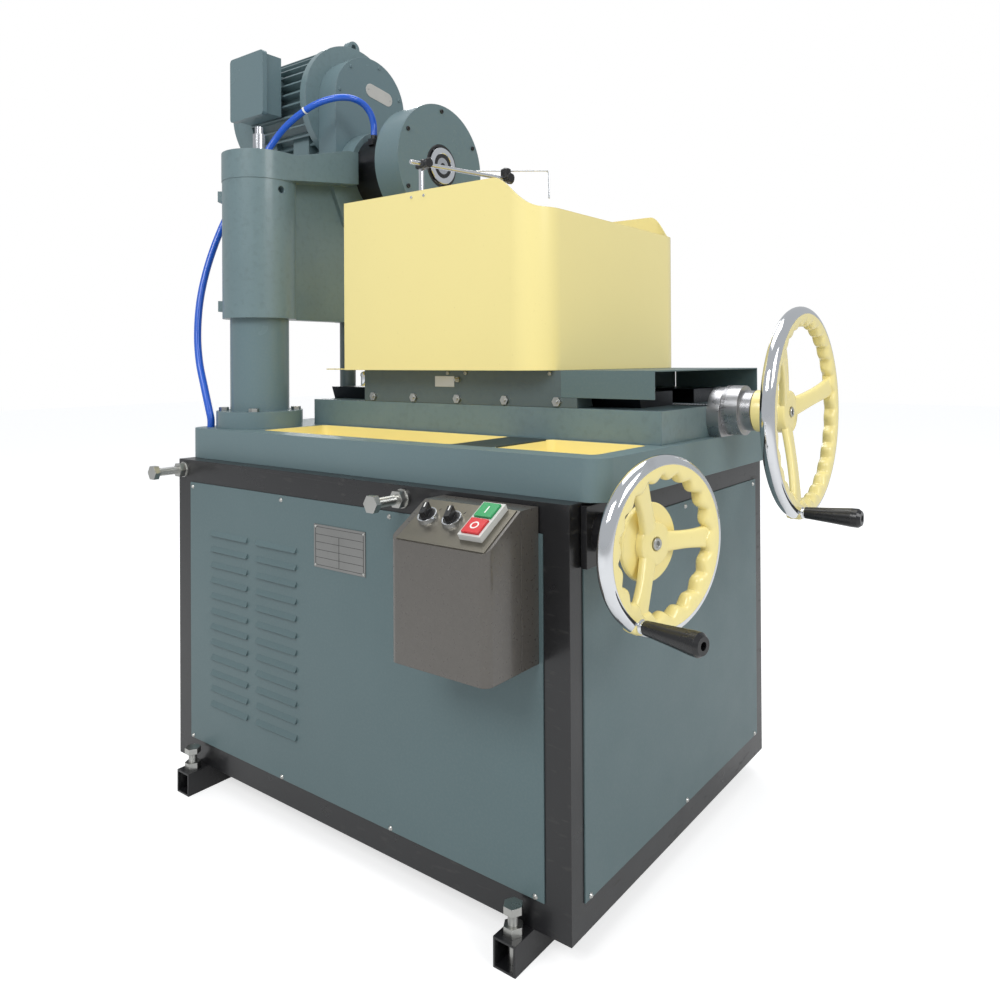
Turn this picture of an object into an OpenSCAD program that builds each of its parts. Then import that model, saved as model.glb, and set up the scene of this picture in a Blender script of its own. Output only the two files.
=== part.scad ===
/* [Cabinet] */
// Length of the cabinet along X
cab_l = 894; // [885:1:903]
// Width of the cabinet along Y
cab_w = 662; // [656:1:668]
// Height of the cabinet's frame
cab_h = 560; // [550:1:570]
// Side of the square frame tube
tube = 50; // [46:1:52]
// Wall of the square frame tube
tube_wall = 3; // [2:0.5:4]
// Thickness of the cover panels
panel_t = 2; // [1.5:0.5:3]
// Frame left bare round the front and back panels
front_margin = 41; // [38:1:44]
// Frame left bare beside the end panels
side_margin = 30; // [27:1:33]
// Diameter of a panel screw's head
screw_d = 8; // [6:0.5:9]
// Width of a skid tube
skid_w = 36; // [32:1:40]
// Height of a skid tube
skid_h = 40; // [36:1:44]
// Length of a skid tube
skid_l = 744; // [736:1:752]
// Distance of each skid from the middle
skid_x = 370; // [366:1:374]
// Distance of the levelling bolts from a skid's end
level_end = 20; // [17:1:23]
// Diameter of the levelling and beam bolts
bolt_d = 14; // [12:1:16]
// Width across the flats of their heads and nuts
bolt_af = 24; // [22:1:26]
// Height of a bolt head
bolt_head_h = 10; // [8:1:12]
// Height of a nut
nut_h = 12; // [10:1:13]
// Free thread above a levelling nut
level_free = 16; // [10:1:20]
// Beam bolt near the control box, along X
beam_bolt_x1 = 152; // [148:1:156]
// Beam bolt at the corner, along X
beam_bolt_x2 = -428; // [-430:1:-425]
// How far a beam bolt stands out of the beam
beam_bolt_out = 56; // [50:1:62]
/* [Louvres and name plate] */
// Louvre rows in each column
louvre_rows = 12; // [8:1:12]
// Length of a louvre
louvre_l = 108; // [100:1:112]
// Height of a louvre hood
louvre_h = 9; // [7:1:12]
// How far a louvre hood stands out
louvre_out = 5; // [4:0.5:7]
// Distance from row to row
louvre_pitch = 28.2; // [27:0.1:28.5]
// Middle of the left column of louvres
louvre_x1 = -282; // [-286:1:-278]
// Middle of the right column of louvres
louvre_x2 = -147.5; // [-150:0.5:-144]
// Height of the lowest louvre
louvre_z = 157; // [152:1:160]
// Length of the name plate
plate_l = 121; // [116:1:126]
// Height of the name plate
plate_h = 69.5; // [66:0.5:73]
// Middle of the name plate along X
plate_x = 13; // [9:1:17]
// Middle of the name plate above the floor
plate_z = 487; // [482:1:491]
/* [Control box] */
// Left side of the control box
box_x0 = 235; // [233:1:237]
// Right side of the control box
box_x1 = 400; // [398:1:402]
// Depth of the control box
box_depth = 107; // [103:1:111]
// Bottom of the control box above the floor
box_z0 = 390; // [384:1:396]
// Top of its front face above the floor
box_z1 = 551; // [548:1:554]
// Slope of its control plate in degrees
box_slope = 32; // [30:1:34]
// Length of the sloping plate
box_slope_l = 81; // [79:1:83]
// Wall of the control box
box_wall = 2; // [1.5:0.5:3]
// Radius of its upright corners
box_r = 12; // [8:1:14]
// Diameter of a selector bezel
bezel_d = 30; // [28:1:32]
// Height of a selector bezel
bezel_h = 6; // [5:1:8]
// Diameter of a selector knob
knob_d = 23; // [20:1:25]
// Height of a selector knob
knob_h = 17; // [14:1:20]
// Selector places along X
selector_x = 270; // [268:1:272]
// Distance from selector to selector
selector_pitch = 43; // [40:1:45]
// Selector places up the slope
selector_s = 46; // [42:1:50]
// Width of the twin button's housing
switch_w = 36; // [34:1:38]
// Length of the twin button's housing
switch_l = 62; // [60:1:64]
// Height of the twin button's housing
switch_h = 9; // [7:1:11]
// Left side of the twin button's housing
switch_x0 = 346; // [344:1:348]
// Gap left all round a button
button_gap = 0.4; // [0.3:0.1:0.6]
// Travel of a button
button_travel = 3; // [2:0.5:4]
/* [Tray table] */
// Overhang of the table past the cabinet on the left
tray_over_l = 13; // [10:1:16]
// Overhang of the table past the cabinet on the right
tray_over_r = 31; // [28:1:34]
// Cabinet beam left bare in front of the table
tray_back_set = 28; // [25:1:31]
// Height of the table
tray_h = 57; // [54:1:60]
// Radius of its corners
tray_r = 30; // [24:1:34]
// Wall of the table casting
tray_wall = 12; // [10:1:14]
// Depth of the coolant pockets
pocket_d = 25; // [22:1:27]
// Front edge of the pockets
pocket_y0 = -262; // [-265:1:-258]
// Back edge of the pockets
pocket_y1 = -112; // [-116:1:-110]
// Left end of the long pocket
pocket_x0 = -285; // [-286:1:-282]
// Right end of the long pocket
pocket_x1 = 185; // [181:1:189]
// Left end of the short pocket
pocket_x2 = 265; // [261:1:269]
// Right end of the short pocket
pocket_x3 = 443; // [440:1:446]
// Diameter of a drain hole
drain_d = 20; // [16:1:24]
/* [Column and head] */
// Column axis along X
col_x = -372; // [-374:1:-370]
// Column axis along Y
col_y = -203; // [-205:1:-201]
// Outer diameter of the column
col_d = 112; // [110:1:114]
// Wall of the column
col_wall = 12; // [10:1:14]
// Height of the column
col_h = 413; // [405:1:418]
// Diameter of the column's flange
flange_d = 164; // [160:1:168]
// Height of the column's flange
flange_h = 32; // [28:1:36]
// Diameter of the sleeve on the column
sleeve_d = 140; // [138:1:142]
// Height of the sleeve's lower end above the table
sleeve_lift = 212; // [208:1:218]
// Length of the sleeve
sleeve_l = 268; // [262:1:272]
// Height of the cap on the sleeve
cap_h = 55; // [52:1:58]
// Thickness of the cap's top, which holds the nut
cap_top_t = 27; // [24:1:29]
// Rise of the arm's top from the column to the motor
arm_rise = 36; // [32:1:40]
// Thickness of the motor platform
platform_t = 35; // [30:1:40]
// Length of the motor platform along X
platform_l = 200; // [190:1:210]
// Diameter of the boss round the spindle
boss_d = 200; // [196:1:204]
// Thickness of the web under the arm
web_t = 30; // [26:1:34]
// Guide rod along X
rod_x = -360; // [-361:1:-358]
// Guide rod along Y
rod_y = 14; // [12:1:16]
// Diameter of the guide rod
rod_d = 34; // [32:1:36]
// Length of the guide rod
rod_l = 555; // [545:1:560]
// Diameter of the elevating screw
lift_screw_d = 24; // [22:1:26]
// Diameter of its journals and top end
lift_journal_d = 16; // [14:1:18]
// How far the elevating screw stands above the cap
lift_screw_out = 59; // [54:1:62]
/* [Grinding spindle] */
// Height of the spindle axis above the floor
spindle_z = 1200; // [1197:1:1203]
// Spindle and motor axis along Y
spindle_y = 102; // [100:1:104]
// Diameter of the spindle
spindle_d = 50; // [46:1:52]
// Right face of the belt guard, along X
guard_face_x = -377; // [-378:1:-376]
// Width of the belt guard
belt_guard_w = 56; // [54:1:58]
// Outer radius of the belt guard
belt_guard_r = 105; // [103:1:107]
// Wall of the belt guard
belt_guard_t = 2; // [1.5:0.5:2.5]
// Distance from the spindle up to the motor axis
motor_up = 172; // [169:1:174]
// Thickness of the head's boss round the spindle
boss_t = 42; // [40:1:44]
// Diameter of the black spindle housing
housing_d = 176; // [172:1:180]
// Length of the black spindle housing
housing_l = 107; // [104:1:110]
// Outer radius of the wheel guard
drum_r = 130; // [128:1:132]
// Width of the wheel guard
drum_w = 67; // [64:1:70]
// Wall of the wheel guard
drum_t = 3; // [2:0.5:4]
// Thickness of the wheel guard's cover
cover_t = 4; // [3:0.5:5]
// Radius of the opening in that cover
cover_hole_r = 46; // [44:1:48]
// Depth of the cut under the wheel guard, below the axis
drum_cut = 80; // [76:1:84]
// Radius of the grinding wheel
wheel_r = 118; // [114:1:120]
// Width of the grinding wheel
wheel_w = 34; // [30:1:36]
// Radius of the pulleys
pulley_r = 55; // [52:1:57]
// Width of the pulleys
pulley_w = 36; // [33:1:38]
// Thickness of the drive belt
belt_t = 6; // [5:0.5:7]
/* [Motor] */
// Length of the motor
motor_l = 274; // [268:1:278]
// Radius over the motor's cooling fins
motor_r = 142; // [139:1:143]
// Radius of the motor's frame under the fins
motor_core_r = 118; // [115:1:121]
// Number of cooling fins
fin_count = 36; // [24:1:40]
// Thickness of a cooling fin
fin_t = 4; // [3:0.5:5]
// Radius of the motor's shaft
motor_shaft_r = 19; // [17:1:21]
// Width of the terminal box along X
term_w = 121; // [116:1:125]
// Depth of the terminal box along Y
term_d = 53; // [50:1:56]
// Height of the terminal box
term_h = 143; // [138:1:146]
/* [Cross slide] */
// Left end of the slide base
base_x0 = -328; // [-330:1:-326]
// Right end of the slide base
base_x1 = 461; // [458:1:464]
// Width of the slide base along Y
base_w = 412; // [408:1:416]
// Height of the slide base
base_h = 50.5; // [48:0.5:53]
// Length of the dovetail ways
way_l = 726; // [720:1:732]
// Height of the dovetail ways
way_h = 24.5; // [23:0.5:26]
// Distance from the base's long sides to the dovetail's top
way_side = 46; // [44:1:48]
// Undercut of each dovetail flank
way_cut = 8; // [6:1:10]
// Width of the slot between the ways
slot_w = 84; // [80:1:88]
// Left end of the carriage
car_x0 = -177.5; // [-180:0.5:-175]
// Length of the carriage
car_l = 459.5; // [455:0.5:464]
// Height of the carriage's top above the ways
car_up = 36; // [34:1:38]
// Length of the wiper lip at its right end
lip_l = 30.6; // [28:0.1:33]
// Height of the wiper lip
lip_h = 16; // [14:1:18]
// Thickness of the gib
gib_t = 6; // [5:0.5:7]
// Number of gib screws
gib_screws_n = 5; // [4:1:6]
// Diameter of the lead screw
lead_d = 18; // [16:1:20]
// Height of the lead screw's axis above the floor
lead_z = 700; // [698:1:702]
// Radius of the lead screw's end flange
end_flange_r = 48; // [45:1:50]
// Thickness of that flange
end_flange_t = 21; // [18:1:24]
// Radius of the cross feed's dial
dial_r = 41; // [38:1:43]
// Length of that dial
dial_l = 46; // [42:1:49]
// Right end of the sheet way cover
way_cover_x1 = 450; // [446:1:454]
// Thickness of the sheet way cover
way_cover_t = 2; // [1.5:0.5:2.5]
/* [Splash guard] */
// Left end of the splash guard
guard_x0 = -184; // [-186:1:-182]
// Right wall of the splash guard
guard_x1 = 273; // [270:1:276]
// Front wall of the splash guard
guard_y0 = -149; // [-151:1:-147]
// Back wall of the splash guard
guard_y1 = 353; // [350:1:356]
// Height of its front wall
guard_h = 317; // [312:1:320]
// Height of its right wall
guard_low_h = 264; // [258:1:270]
// Sheet thickness of the splash guard
guard_t = 3; // [2:0.5:4]
// Corner radius of the splash guard
guard_r = 58; // [52:1:62]
// Where the front wall starts to dip
dip_x_front = 178; // [174:1:182]
// Where the back wall starts to dip
dip_x_back = 205; // [201:1:209]
// Left end of the floor plate's tongue
tongue_x0 = -290; // [-293:1:-287]
/* [Work chuck] */
// Chuck axis along X
chuck_x = 22; // [19:1:25]
// Radius of the chuck
chuck_r = 110; // [106:1:113]
// Thickness of the chuck
chuck_t = 20; // [18:1:22]
// Height of the chuck's face above the carriage
chuck_h = 180; // [176:1:184]
// Radius of the chuck's bearing housing
chuck_house_r = 62; // [58:1:66]
// Radius of the chuck's spindle
chuck_spindle_r = 22; // [20:1:24]
// Radius of the centring spigot, which a brake disc's bore drops over
spigot_r = 25; // [23:1:27]
// Height of the centring spigot
spigot_h = 22; // [20:1:25]
// Circle of the chuck's tapped holes
chuck_pcd = 150; // [146:1:154]
// Diameter of those holes
chuck_hole_d = 12; // [10:1:13]
// Number of those holes
chuck_holes = 6; // [5:1:6]
/* [Gauge stand] */
// Gauge post along X
post_x = 10; // [8:1:12]
// Diameter of the gauge post
post_d = 10; // [9:0.5:11]
// Height of the gauge post's top above the guard's wall
post_up = 52; // [48:1:56]
// Diameter of the cross rod
cross_rod_d = 8; // [7:0.5:9]
// Length of the cross rod
cross_rod_l = 225; // [219:1:231]
// Diameter of the pointer
pointer_d = 3; // [2.5:0.5:4]
// Length of the pointer's level run
pointer_l = 150; // [144:1:156]
// Length of the pointer's bent end
pointer_drop = 53; // [48:1:56]
/* [Handwheels] */
// Middle of the lift handwheel along X
lift_wheel_x = 558; // [556:1:560]
// Middle of the lift handwheel along Y
lift_wheel_y = -293; // [-294:1:-292]
// Height of the lift shaft above the floor
lift_wheel_z = 557; // [555:1:558]
// Turn of the lift shaft in plan in degrees
lift_yaw = 12.7; // [12:0.1:13.4]
// Mean radius of the lift handwheel's rim
lift_wheel_r = 100; // [98:1:102]
// Middle of the cross handwheel along X
cross_wheel_x = 603; // [600:1:606]
// Mean radius of the cross handwheel's rim
cross_wheel_r = 156; // [153:1:159]
// Radius of a handwheel's rim tube
rim_r = 11; // [10:0.5:12]
// Radius of the lift and lead screw shafts in the hubs
hub_shaft_r = 10; // [9:0.5:11]
// Radius of a handwheel's hub
hub_r = 26; // [24:1:28]
// Length of the turning grips
grip_l = 88; // [84:1:92]
// Radius of a grip at its outer end
grip_r = 14; // [13:0.5:15]
// Teeth of each mitre gear
mitre_teeth = 16; // [14:1:18]
// Pitch radius of each mitre gear
mitre_r = 22; // [20:1:23]
// Face width of each mitre gear
mitre_face = 9; // [8:1:10]
/* [Coolant] */
// Diameter of the coolant hose
hose_d = 14; // [13:0.5:15]
// Hose hole along X
hose_x = -434; // [-435:1:-433]
// Hose hole along Y
hose_y = -272; // [-273:1:-271]
// Left end of the coolant tank
tank_x0 = -200; // [-210:1:-190]
// Right end of the coolant tank
tank_x1 = 385; // [378:1:390]
// Height of the coolant tank
tank_h = 150; // [140:1:170]
// Wall of the coolant tank
tank_t = 2; // [1.5:0.5:3]
// Radius of the coolant pump's motor
pump_r = 55; // [50:1:60]
/* [Fits] */
// Radial clearance of a turning or sliding fit
fit = 0.05; // [0.03:0.01:0.08]
// Clearance of a fixed seat
seat = 0.02; // [0.01:0.01:0.03]
// Gap between pieces that move past each other
gap = 0.3; // [0.3:0.05:0.5]
// Overrun of a cut past the face that it opens
over = 1; // [0.5:0.5:2]

/* [Hidden] */
$fn = 48;
blue = [0.33, 0.43, 0.45];
cream = [0.95, 0.87, 0.58];
black = [0.12, 0.12, 0.13];
steel = [0.72, 0.73, 0.75];
grey = [0.36, 0.35, 0.34];

x0 = -cab_l / 2;
x1 = cab_l / 2;
y0 = -cab_w / 2;
y1 = cab_w / 2;
frame_z = skid_h;
tray_z = frame_z + cab_h;
table_z = tray_z + tray_h;
bolt_r = bolt_d / 2;
level_y = skid_l / 2 - level_end;
flange_bolt_room = flange_d / 2 - col_d / 2;
flange_bolt_r = 0.2 * flange_bolt_room;
tray_x0 = x0 - tray_over_l;
tray_x1 = x1 + tray_over_r;
tray_y0 = y0 + tray_back_set;
beam_z = tray_z - 0.38 * tube;
front_x0 = x0 + front_margin;
front_x1 = x1 - front_margin;
panel_z0 = frame_z + front_margin;
panel_z1 = tray_z - front_margin;
side_y0 = y0 + side_margin;
side_y1 = y1 - side_margin;
box_y1 = y0 - panel_t;
box_y0 = box_y1 - box_depth;
base_y0 = spindle_y - base_w / 2;
base_y1 = spindle_y + base_w / 2;
base_z = table_z + base_h;
way_z = base_z + way_h;
car_z = way_z + car_up;
car_x1 = car_x0 + car_l;
car_bottom = base_z + gap;
col_r = col_d / 2;
sleeve_r = sleeve_d / 2;
sleeve_z = table_z + sleeve_lift;
cap_z = sleeve_z + sleeve_l;
cap_top = cap_z + cap_h;
cap_inner = cap_top - cap_top_t;
arm_top = cap_top + arm_rise;
arm_low = arm_top - platform_t - 0.9 * platform_t;
platform_low = arm_top - platform_t;
motor_z = spindle_z + motor_up;
belt_x1 = guard_face_x;
belt_x0 = guard_face_x - belt_guard_w;
boss_x1 = guard_face_x + boss_t;
housing_x1 = boss_x1 + housing_l;
drum_x0 = housing_x1;
drum_x1 = housing_x1 + drum_w;
spindle_r = spindle_d / 2;
motor_x1 = belt_x0;
motor_x0 = motor_x1 - motor_l;
guard_z = car_z;
guard_top = guard_z + guard_h;
guard_low = guard_z + guard_low_h;
chuck_z = car_z + chuck_h;
chuck_y = spindle_y;
slot_y0 = spindle_y - slot_w / 2;
slot_y1 = spindle_y + slot_w / 2;
way_y0 = base_y0 + way_side;
way_y1 = base_y1 - way_side;
way_x1 = base_x0 + way_l;
lead_r = lead_d / 2;
groove_z = lead_z - slot_w * 0.2;
post_y = guard_y0 + 3 * guard_t;
post_top = guard_top + post_up;
clamp_z = guard_top - post_d;
mitre_tooth_share = 0.2;
mitre_high_share = 0.075;
mitre_deep_share = 0.1;

// A box between two corners
module block(a, b) {
    translate(a) cube(b - a);
}

// A cylinder along X
module xcyl(r, xa, xb, y, z) {
    translate([xa, y, z]) rotate([0, 90, 0]) cylinder(r = r, h = xb - xa);
}

// A cylinder along Y
module ycyl(r, ya, yb, x, z) {
    translate([x, yb, z]) rotate([90, 0, 0]) cylinder(r = r, h = yb - ya);
}

// A cylinder along Z
module zcyl(r, za, zb, x, y) {
    translate([x, y, za]) cylinder(r = r, h = zb - za);
}

// A flat rectangle with four round corners
module round_rect(xa, ya, xb, yb, r) {
    translate([xa + r, ya]) square([xb - xa - 2 * r, yb - ya]);
    translate([xa, ya + r]) square([xb - xa, yb - ya - 2 * r]);
    for (x = [xa + r, xb - r], y = [ya + r, yb - r]) translate([x, y]) circle(r);
}

// A polygon in Y and Z, drawn out along X
module along_x(xa, xb, points) {
    translate([xa, 0, 0]) rotate([90, 0, 90]) linear_extrude(xb - xa) polygon(points);
}

// A six-sided head or nut on the Z axis
module hex(af, h) {
    cylinder(r = af / sqrt(3), h = h, $fn = 6);
}

// Puts children on an axis that leaves the machine along X, with their own Z outwards
module outward() {
    rotate([90, 0, 90]) children();
}

// Cabinet

module frame_bars(inset, drop) {
    for (x = [x0, x1 - tube], y = [y0, y1 - tube])
        block([x + inset, y + inset, frame_z + inset - drop], [x + tube - inset, y + tube - inset,
            tray_z - inset]);
    for (z = [frame_z, tray_z - tube]) {
        for (y = [y0, y1 - tube])
            block([x0 + inset, y + inset, z + inset], [x1 - inset, y + tube - inset, z + tube - inset]);
        for (x = [x0, x1 - tube])
            block([x + inset, y0 + inset, z + inset], [x + tube - inset, y1 - inset, z + tube - inset]);
    }
}

module cabinet_frame() {
    color(black) difference() {
        frame_bars(0, 0);
        frame_bars(tube_wall, tube_wall + over);
        lift_axis() cylinder(r = hub_shaft_r + 2 * over, h = lift_span, center = true);
        zcyl(hose_d / 2 + seat, tray_z - tube - over, tray_z + over, hose_x, hose_y);
        for (x = [beam_bolt_x1, beam_bolt_x2])
            ycyl(bolt_r + seat, y0 - over, y0 + tube_wall + over, x, beam_z);
    }
}

// A louvre: a hood pressed out of the sheet, open underneath
module louvre_hood() {
    rotate([90, 0, 90]) linear_extrude(louvre_l, center = true)
        polygon([[0, 0], [-louvre_out, 0], [0, louvre_h]]);
}

module louvre_hollow() {
    rotate([90, 0, 90]) linear_extrude(louvre_l - 2 * panel_t, center = true)
        polygon([[panel_t + over, -over], [panel_t - louvre_out, -over], [panel_t + over, louvre_h - over]]);
}

module louvres() {
    for (x = [louvre_x1, louvre_x2], i = [0 : louvre_rows - 1])
        translate([x, y0 - panel_t, louvre_z + i * louvre_pitch]) children();
}

module front_panel() {
    color(blue) difference() {
        union() {
            block([front_x0, y0 - panel_t, panel_z0], [front_x1, y0, panel_z1]);
            louvres() louvre_hood();
        }
        louvres() louvre_hollow();
    }
}

module back_panel() {
    color(blue) block([front_x0, y1, panel_z0], [front_x1, y1 + panel_t, panel_z1]);
}

module left_panel() {
    color(blue) block([x0 - panel_t, side_y0, panel_z0], [x0, side_y1, panel_z1]);
}

module right_panel() {
    color(blue) difference() {
        block([x1, side_y0, panel_z0], [x1 + panel_t, side_y1, panel_z1]);
        lift_axis() cylinder(r = hub_shaft_r + 2 * over, h = lift_span, center = true);
    }
}

module skid_rails() {
    color(black) for (s = [-1, 1]) difference() {
        block([s * skid_x - skid_w / 2, -skid_l / 2, 0], [s * skid_x + skid_w / 2, skid_l / 2, skid_h]);
        block([s * skid_x - skid_w / 2 + tube_wall, -skid_l / 2 - over, tube_wall],
            [s * skid_x + skid_w / 2 - tube_wall, skid_l / 2 + over, skid_h - tube_wall]);
        for (t = [-1, 1]) zcyl(bolt_r + seat, -over, skid_h + over, s * skid_x, t * level_y);
    }
}

module level_bolt() {
    translate([0, 0, over / 2]) cylinder(r = bolt_r, h = skid_h + nut_h + level_free - over / 2);
    translate([0, 0, skid_h + nut_h + level_free]) hex(bolt_af, bolt_head_h);
    translate([0, 0, skid_h]) difference() {
        hex(bolt_af, nut_h);
        translate([0, 0, -over]) cylinder(r = bolt_r + seat, h = nut_h + 2 * over);
    }
}

module beam_bolt() {
    washer_h = 0.3 * nut_h;
    translate([0, 0, -tube_wall]) cylinder(r = bolt_r, h = tube_wall + beam_bolt_out);
    translate([0, 0, beam_bolt_out]) hex(bolt_af, bolt_head_h);
    difference() {
        union() {
            cylinder(r = 0.6 * bolt_af, h = washer_h);
            translate([0, 0, washer_h]) hex(bolt_af, nut_h);
        }
        translate([0, 0, -over]) cylinder(r = bolt_r + seat, h = washer_h + nut_h + 2 * over);
    }
}

flange_bolt_places = [for (a = [45 : 90 : 315])
    [col_x + (col_r + flange_d / 2) / 2 * cos(a), col_y + (col_r + flange_d / 2) / 2 * sin(a)]];

module frame_bolts() {
    color(steel) {
        for (s = [-1, 1], t = [-1, 1]) translate([s * skid_x, t * level_y, 0]) level_bolt();
        for (x = [beam_bolt_x1, beam_bolt_x2]) translate([x, y0, beam_z]) rotate([90, 0, 0]) beam_bolt();
        for (p = flange_bolt_places) translate([p[0], p[1], table_z]) {
            translate([0, 0, -tray_wall]) cylinder(r = flange_bolt_r, h = flange_h + tray_wall);
            translate([0, 0, flange_h]) hex(0.64 * flange_bolt_room, 0.25 * flange_bolt_room);
        }
    }
}

module screw_head() {
    cylinder(r1 = screw_d / 2, r2 = screw_d / 4, h = 0.3 * screw_d);
}

front_screw_shares = [0.005, 0.333, 0.655, 0.987];
side_screw_shares = [0.015, 0.5, 0.985];

module panel_screws() {
    color(steel) {
        for (k = front_screw_shares, z = [panel_z0 + screw_d / 2, panel_z1 - screw_d])
            for (s = [-1, 1])
                translate([front_x0 + screw_d / 2 + k * (front_x1 - front_x0 - screw_d),
                    s * (cab_w / 2 + panel_t), z]) rotate([-s * 90, 0, 0]) screw_head();
        for (k = side_screw_shares, z = [panel_z0 + screw_d / 2, panel_z1 - screw_d])
            for (s = z > beam_z - tube && k < 0.5 ? [-1] : [-1, 1])
                translate([s * (cab_l / 2 + panel_t),
                    side_y0 + screw_d / 2 + k * (side_y1 - side_y0 - screw_d), z])
                    rotate([0, s * 90, 0]) screw_head();
        for (dx = [-1, 1], dz = [-1, 1])
            translate([plate_x + dx * (plate_l / 2 - screw_d / 2), y0 - panel_t - plate_t,
                plate_z + dz * (plate_h / 2 - screw_d / 2)]) rotate([90, 0, 0]) scale(0.6) screw_head();
    }
}
plate_t = 0.6 * panel_t;

module name_plate() {
    color(steel) block([plate_x - plate_l / 2, y0 - panel_t - plate_t, plate_z - plate_h / 2],
        [plate_x + plate_l / 2, y0 - panel_t, plate_z + plate_h / 2]);
}

// Control box

slope_y = box_slope_l * cos(box_slope);
slope_z = box_slope_l * sin(box_slope);
box_top = box_z1 + slope_z;

// Outline of the box in Y and Z, drawn in by a wall
function box_outline(w) = [[box_y1 + (w > 0 ? over : 0), box_z0 + w], [box_y0 + w, box_z0 + w],
    [box_y0 + w, box_z1 - w * tan(box_slope) * 0.5], [box_y0 + slope_y + 0.3 * w, box_top - w],
    [box_y1 + (w > 0 ? over : 0), box_top - w]];

module box_solid(w) {
    intersection() {
        along_x(box_x0 + w, box_x1 - w, box_outline(w));
        translate([0, 0, box_z0 - over]) linear_extrude(box_top - box_z0 + 2 * over)
            round_rect(box_x0 + w, box_y0 + w, box_x1 - w, box_y1 + box_depth, box_r - w);
    }
}

// Works on the sloping control plate: X as ever, Y up the slope, Z out of it
module on_slope() {
    translate([0, box_y0, box_z1]) rotate([box_slope, 0, 0]) children();
}

module slope_cuts(extra) {
    for (i = [0, 1]) translate([selector_x + i * selector_pitch, selector_s, -5 * box_wall])
        cylinder(r = stem_r + extra, h = 10 * box_wall);
}
stem_r = 0.36 * bezel_d;
ctrl_t = 0.75 * box_wall;
ctrl_x0 = box_x0 + box_r;
ctrl_x1 = box_x1 - 0.4 * box_r;
switch_x1 = switch_x0 + switch_w;

module control_box() {
    color(grey) difference() {
        box_solid(0);
        box_solid(box_wall);
        on_slope() slope_cuts(seat);
        on_slope() block([switch_x0 + box_wall, switch_cut_y0, -5 * box_wall], [switch_x1 - box_wall,
            switch_cut_y1, over]);
        along_x(box_x0 - over, box_x0 + seam_d, seam_outline);
        along_x(box_x1 - seam_d, box_x1 + over, seam_outline);
    }
}
seam_d = 0.4 * box_wall;
seam_w = 0.8 * box_wall;
seam_y = box_y0 + 0.64 * box_depth;
seam_outline = [[seam_y, box_z0 - over], [seam_y + seam_w, box_z0 - over], [seam_y + seam_w,
    box_top + over], [seam_y, box_top + over]];
switch_top = box_slope_l - box_wall;
switch_cut_y1 = switch_top - box_wall;
switch_cut_y0 = switch_top - switch_l + box_wall;

module control_plate() {
    color(steel) on_slope() difference() {
        block([ctrl_x0, box_wall, 0], [ctrl_x1, switch_top + box_wall / 2, ctrl_t]);
        slope_cuts(seat);
        block([switch_x0 + box_wall, switch_cut_y0, -over], [switch_x1 - box_wall, switch_cut_y1,
            ctrl_t + over]);
    }
}

module selector_bezels() {
    color(steel) on_slope() for (i = [0, 1])
        translate([selector_x + i * selector_pitch, selector_s, 0]) difference() {
            union() {
                translate([0, 0, ctrl_t]) cylinder(r1 = bezel_d / 2, r2 = 0.46 * bezel_d, h = bezel_h);
                translate([0, 0, -3 * box_wall]) cylinder(r = stem_r, h = 3 * box_wall + ctrl_t);
            }
            translate([0, 0, ctrl_t]) cylinder(r = knob_d / 2 + gap, h = bezel_h + over);
            translate([0, 0, -4 * box_wall]) cylinder(r = knob_stem_r + fit, h = 6 * box_wall);
        }
}
knob_stem_r = 0.3 * knob_d;

module selector(i) {
    color(black) on_slope() translate([selector_x + i * selector_pitch, selector_s, 0]) {
        translate([0, 0, ctrl_t + gap]) cylinder(r = knob_d / 2, h = bezel_h);
        translate([0, 0, -3 * box_wall - over]) cylinder(r = knob_stem_r,
            h = 3 * box_wall + 2 * over + ctrl_t);
        translate([0, 0, ctrl_t + gap + bezel_h]) rotate([0, 0, 20])
            block([-knob_d * 0.17, -knob_d * 0.46, 0], [knob_d * 0.17, knob_d * 0.46, knob_h - bezel_h]);
    }
}

module selector_left() {
    selector(0);
}

module selector_right() {
    selector(1);
}

button_l = (switch_l - 5 * box_wall) / 2;

module switch_housing() {
    color("white") on_slope() difference() {
        union() {
            block([switch_x0, switch_top - switch_l, ctrl_t], [switch_x1, switch_top, ctrl_t + switch_h]);
            block([switch_x0 + box_wall + seat, switch_cut_y0 + seat, -6 * box_wall],
                [switch_x1 - box_wall - seat, switch_cut_y1 - seat, ctrl_t]);
        }
        for (i = [0, 1]) translate([0, switch_top - switch_l + (i + 1) * 1.66 * box_wall + i * button_l, 0])
            block([switch_x0 + 2 * box_wall, 0, -4 * box_wall], [switch_x1 - 2 * box_wall, button_l,
                ctrl_t + switch_h + over]);
    }
}

module push_button(i) {
    on_slope() translate([0, switch_top - switch_l + (i + 1) * 1.66 * box_wall + i * button_l, 0])
        block([switch_x0 + 2 * box_wall + button_gap, button_gap, -4 * box_wall + button_travel + gap],
            [switch_x1 - 2 * box_wall - button_gap, button_l - button_gap,
                ctrl_t + switch_h + button_travel]);
}

module start_button() {
    color("green") push_button(1);
}

module stop_button() {
    color("red") push_button(0);
}

// Tray table

tray_flat_r = 0.4 * tray_r;

// Upright bosses and hangers under the table
module tray_bosses(z) {
    translate([0, 0, z]) linear_extrude(table_z - z) {
        translate([col_x, col_y]) circle(flange_d / 2);
        translate([rod_x, rod_y]) circle(rod_d);
    }
}

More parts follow.
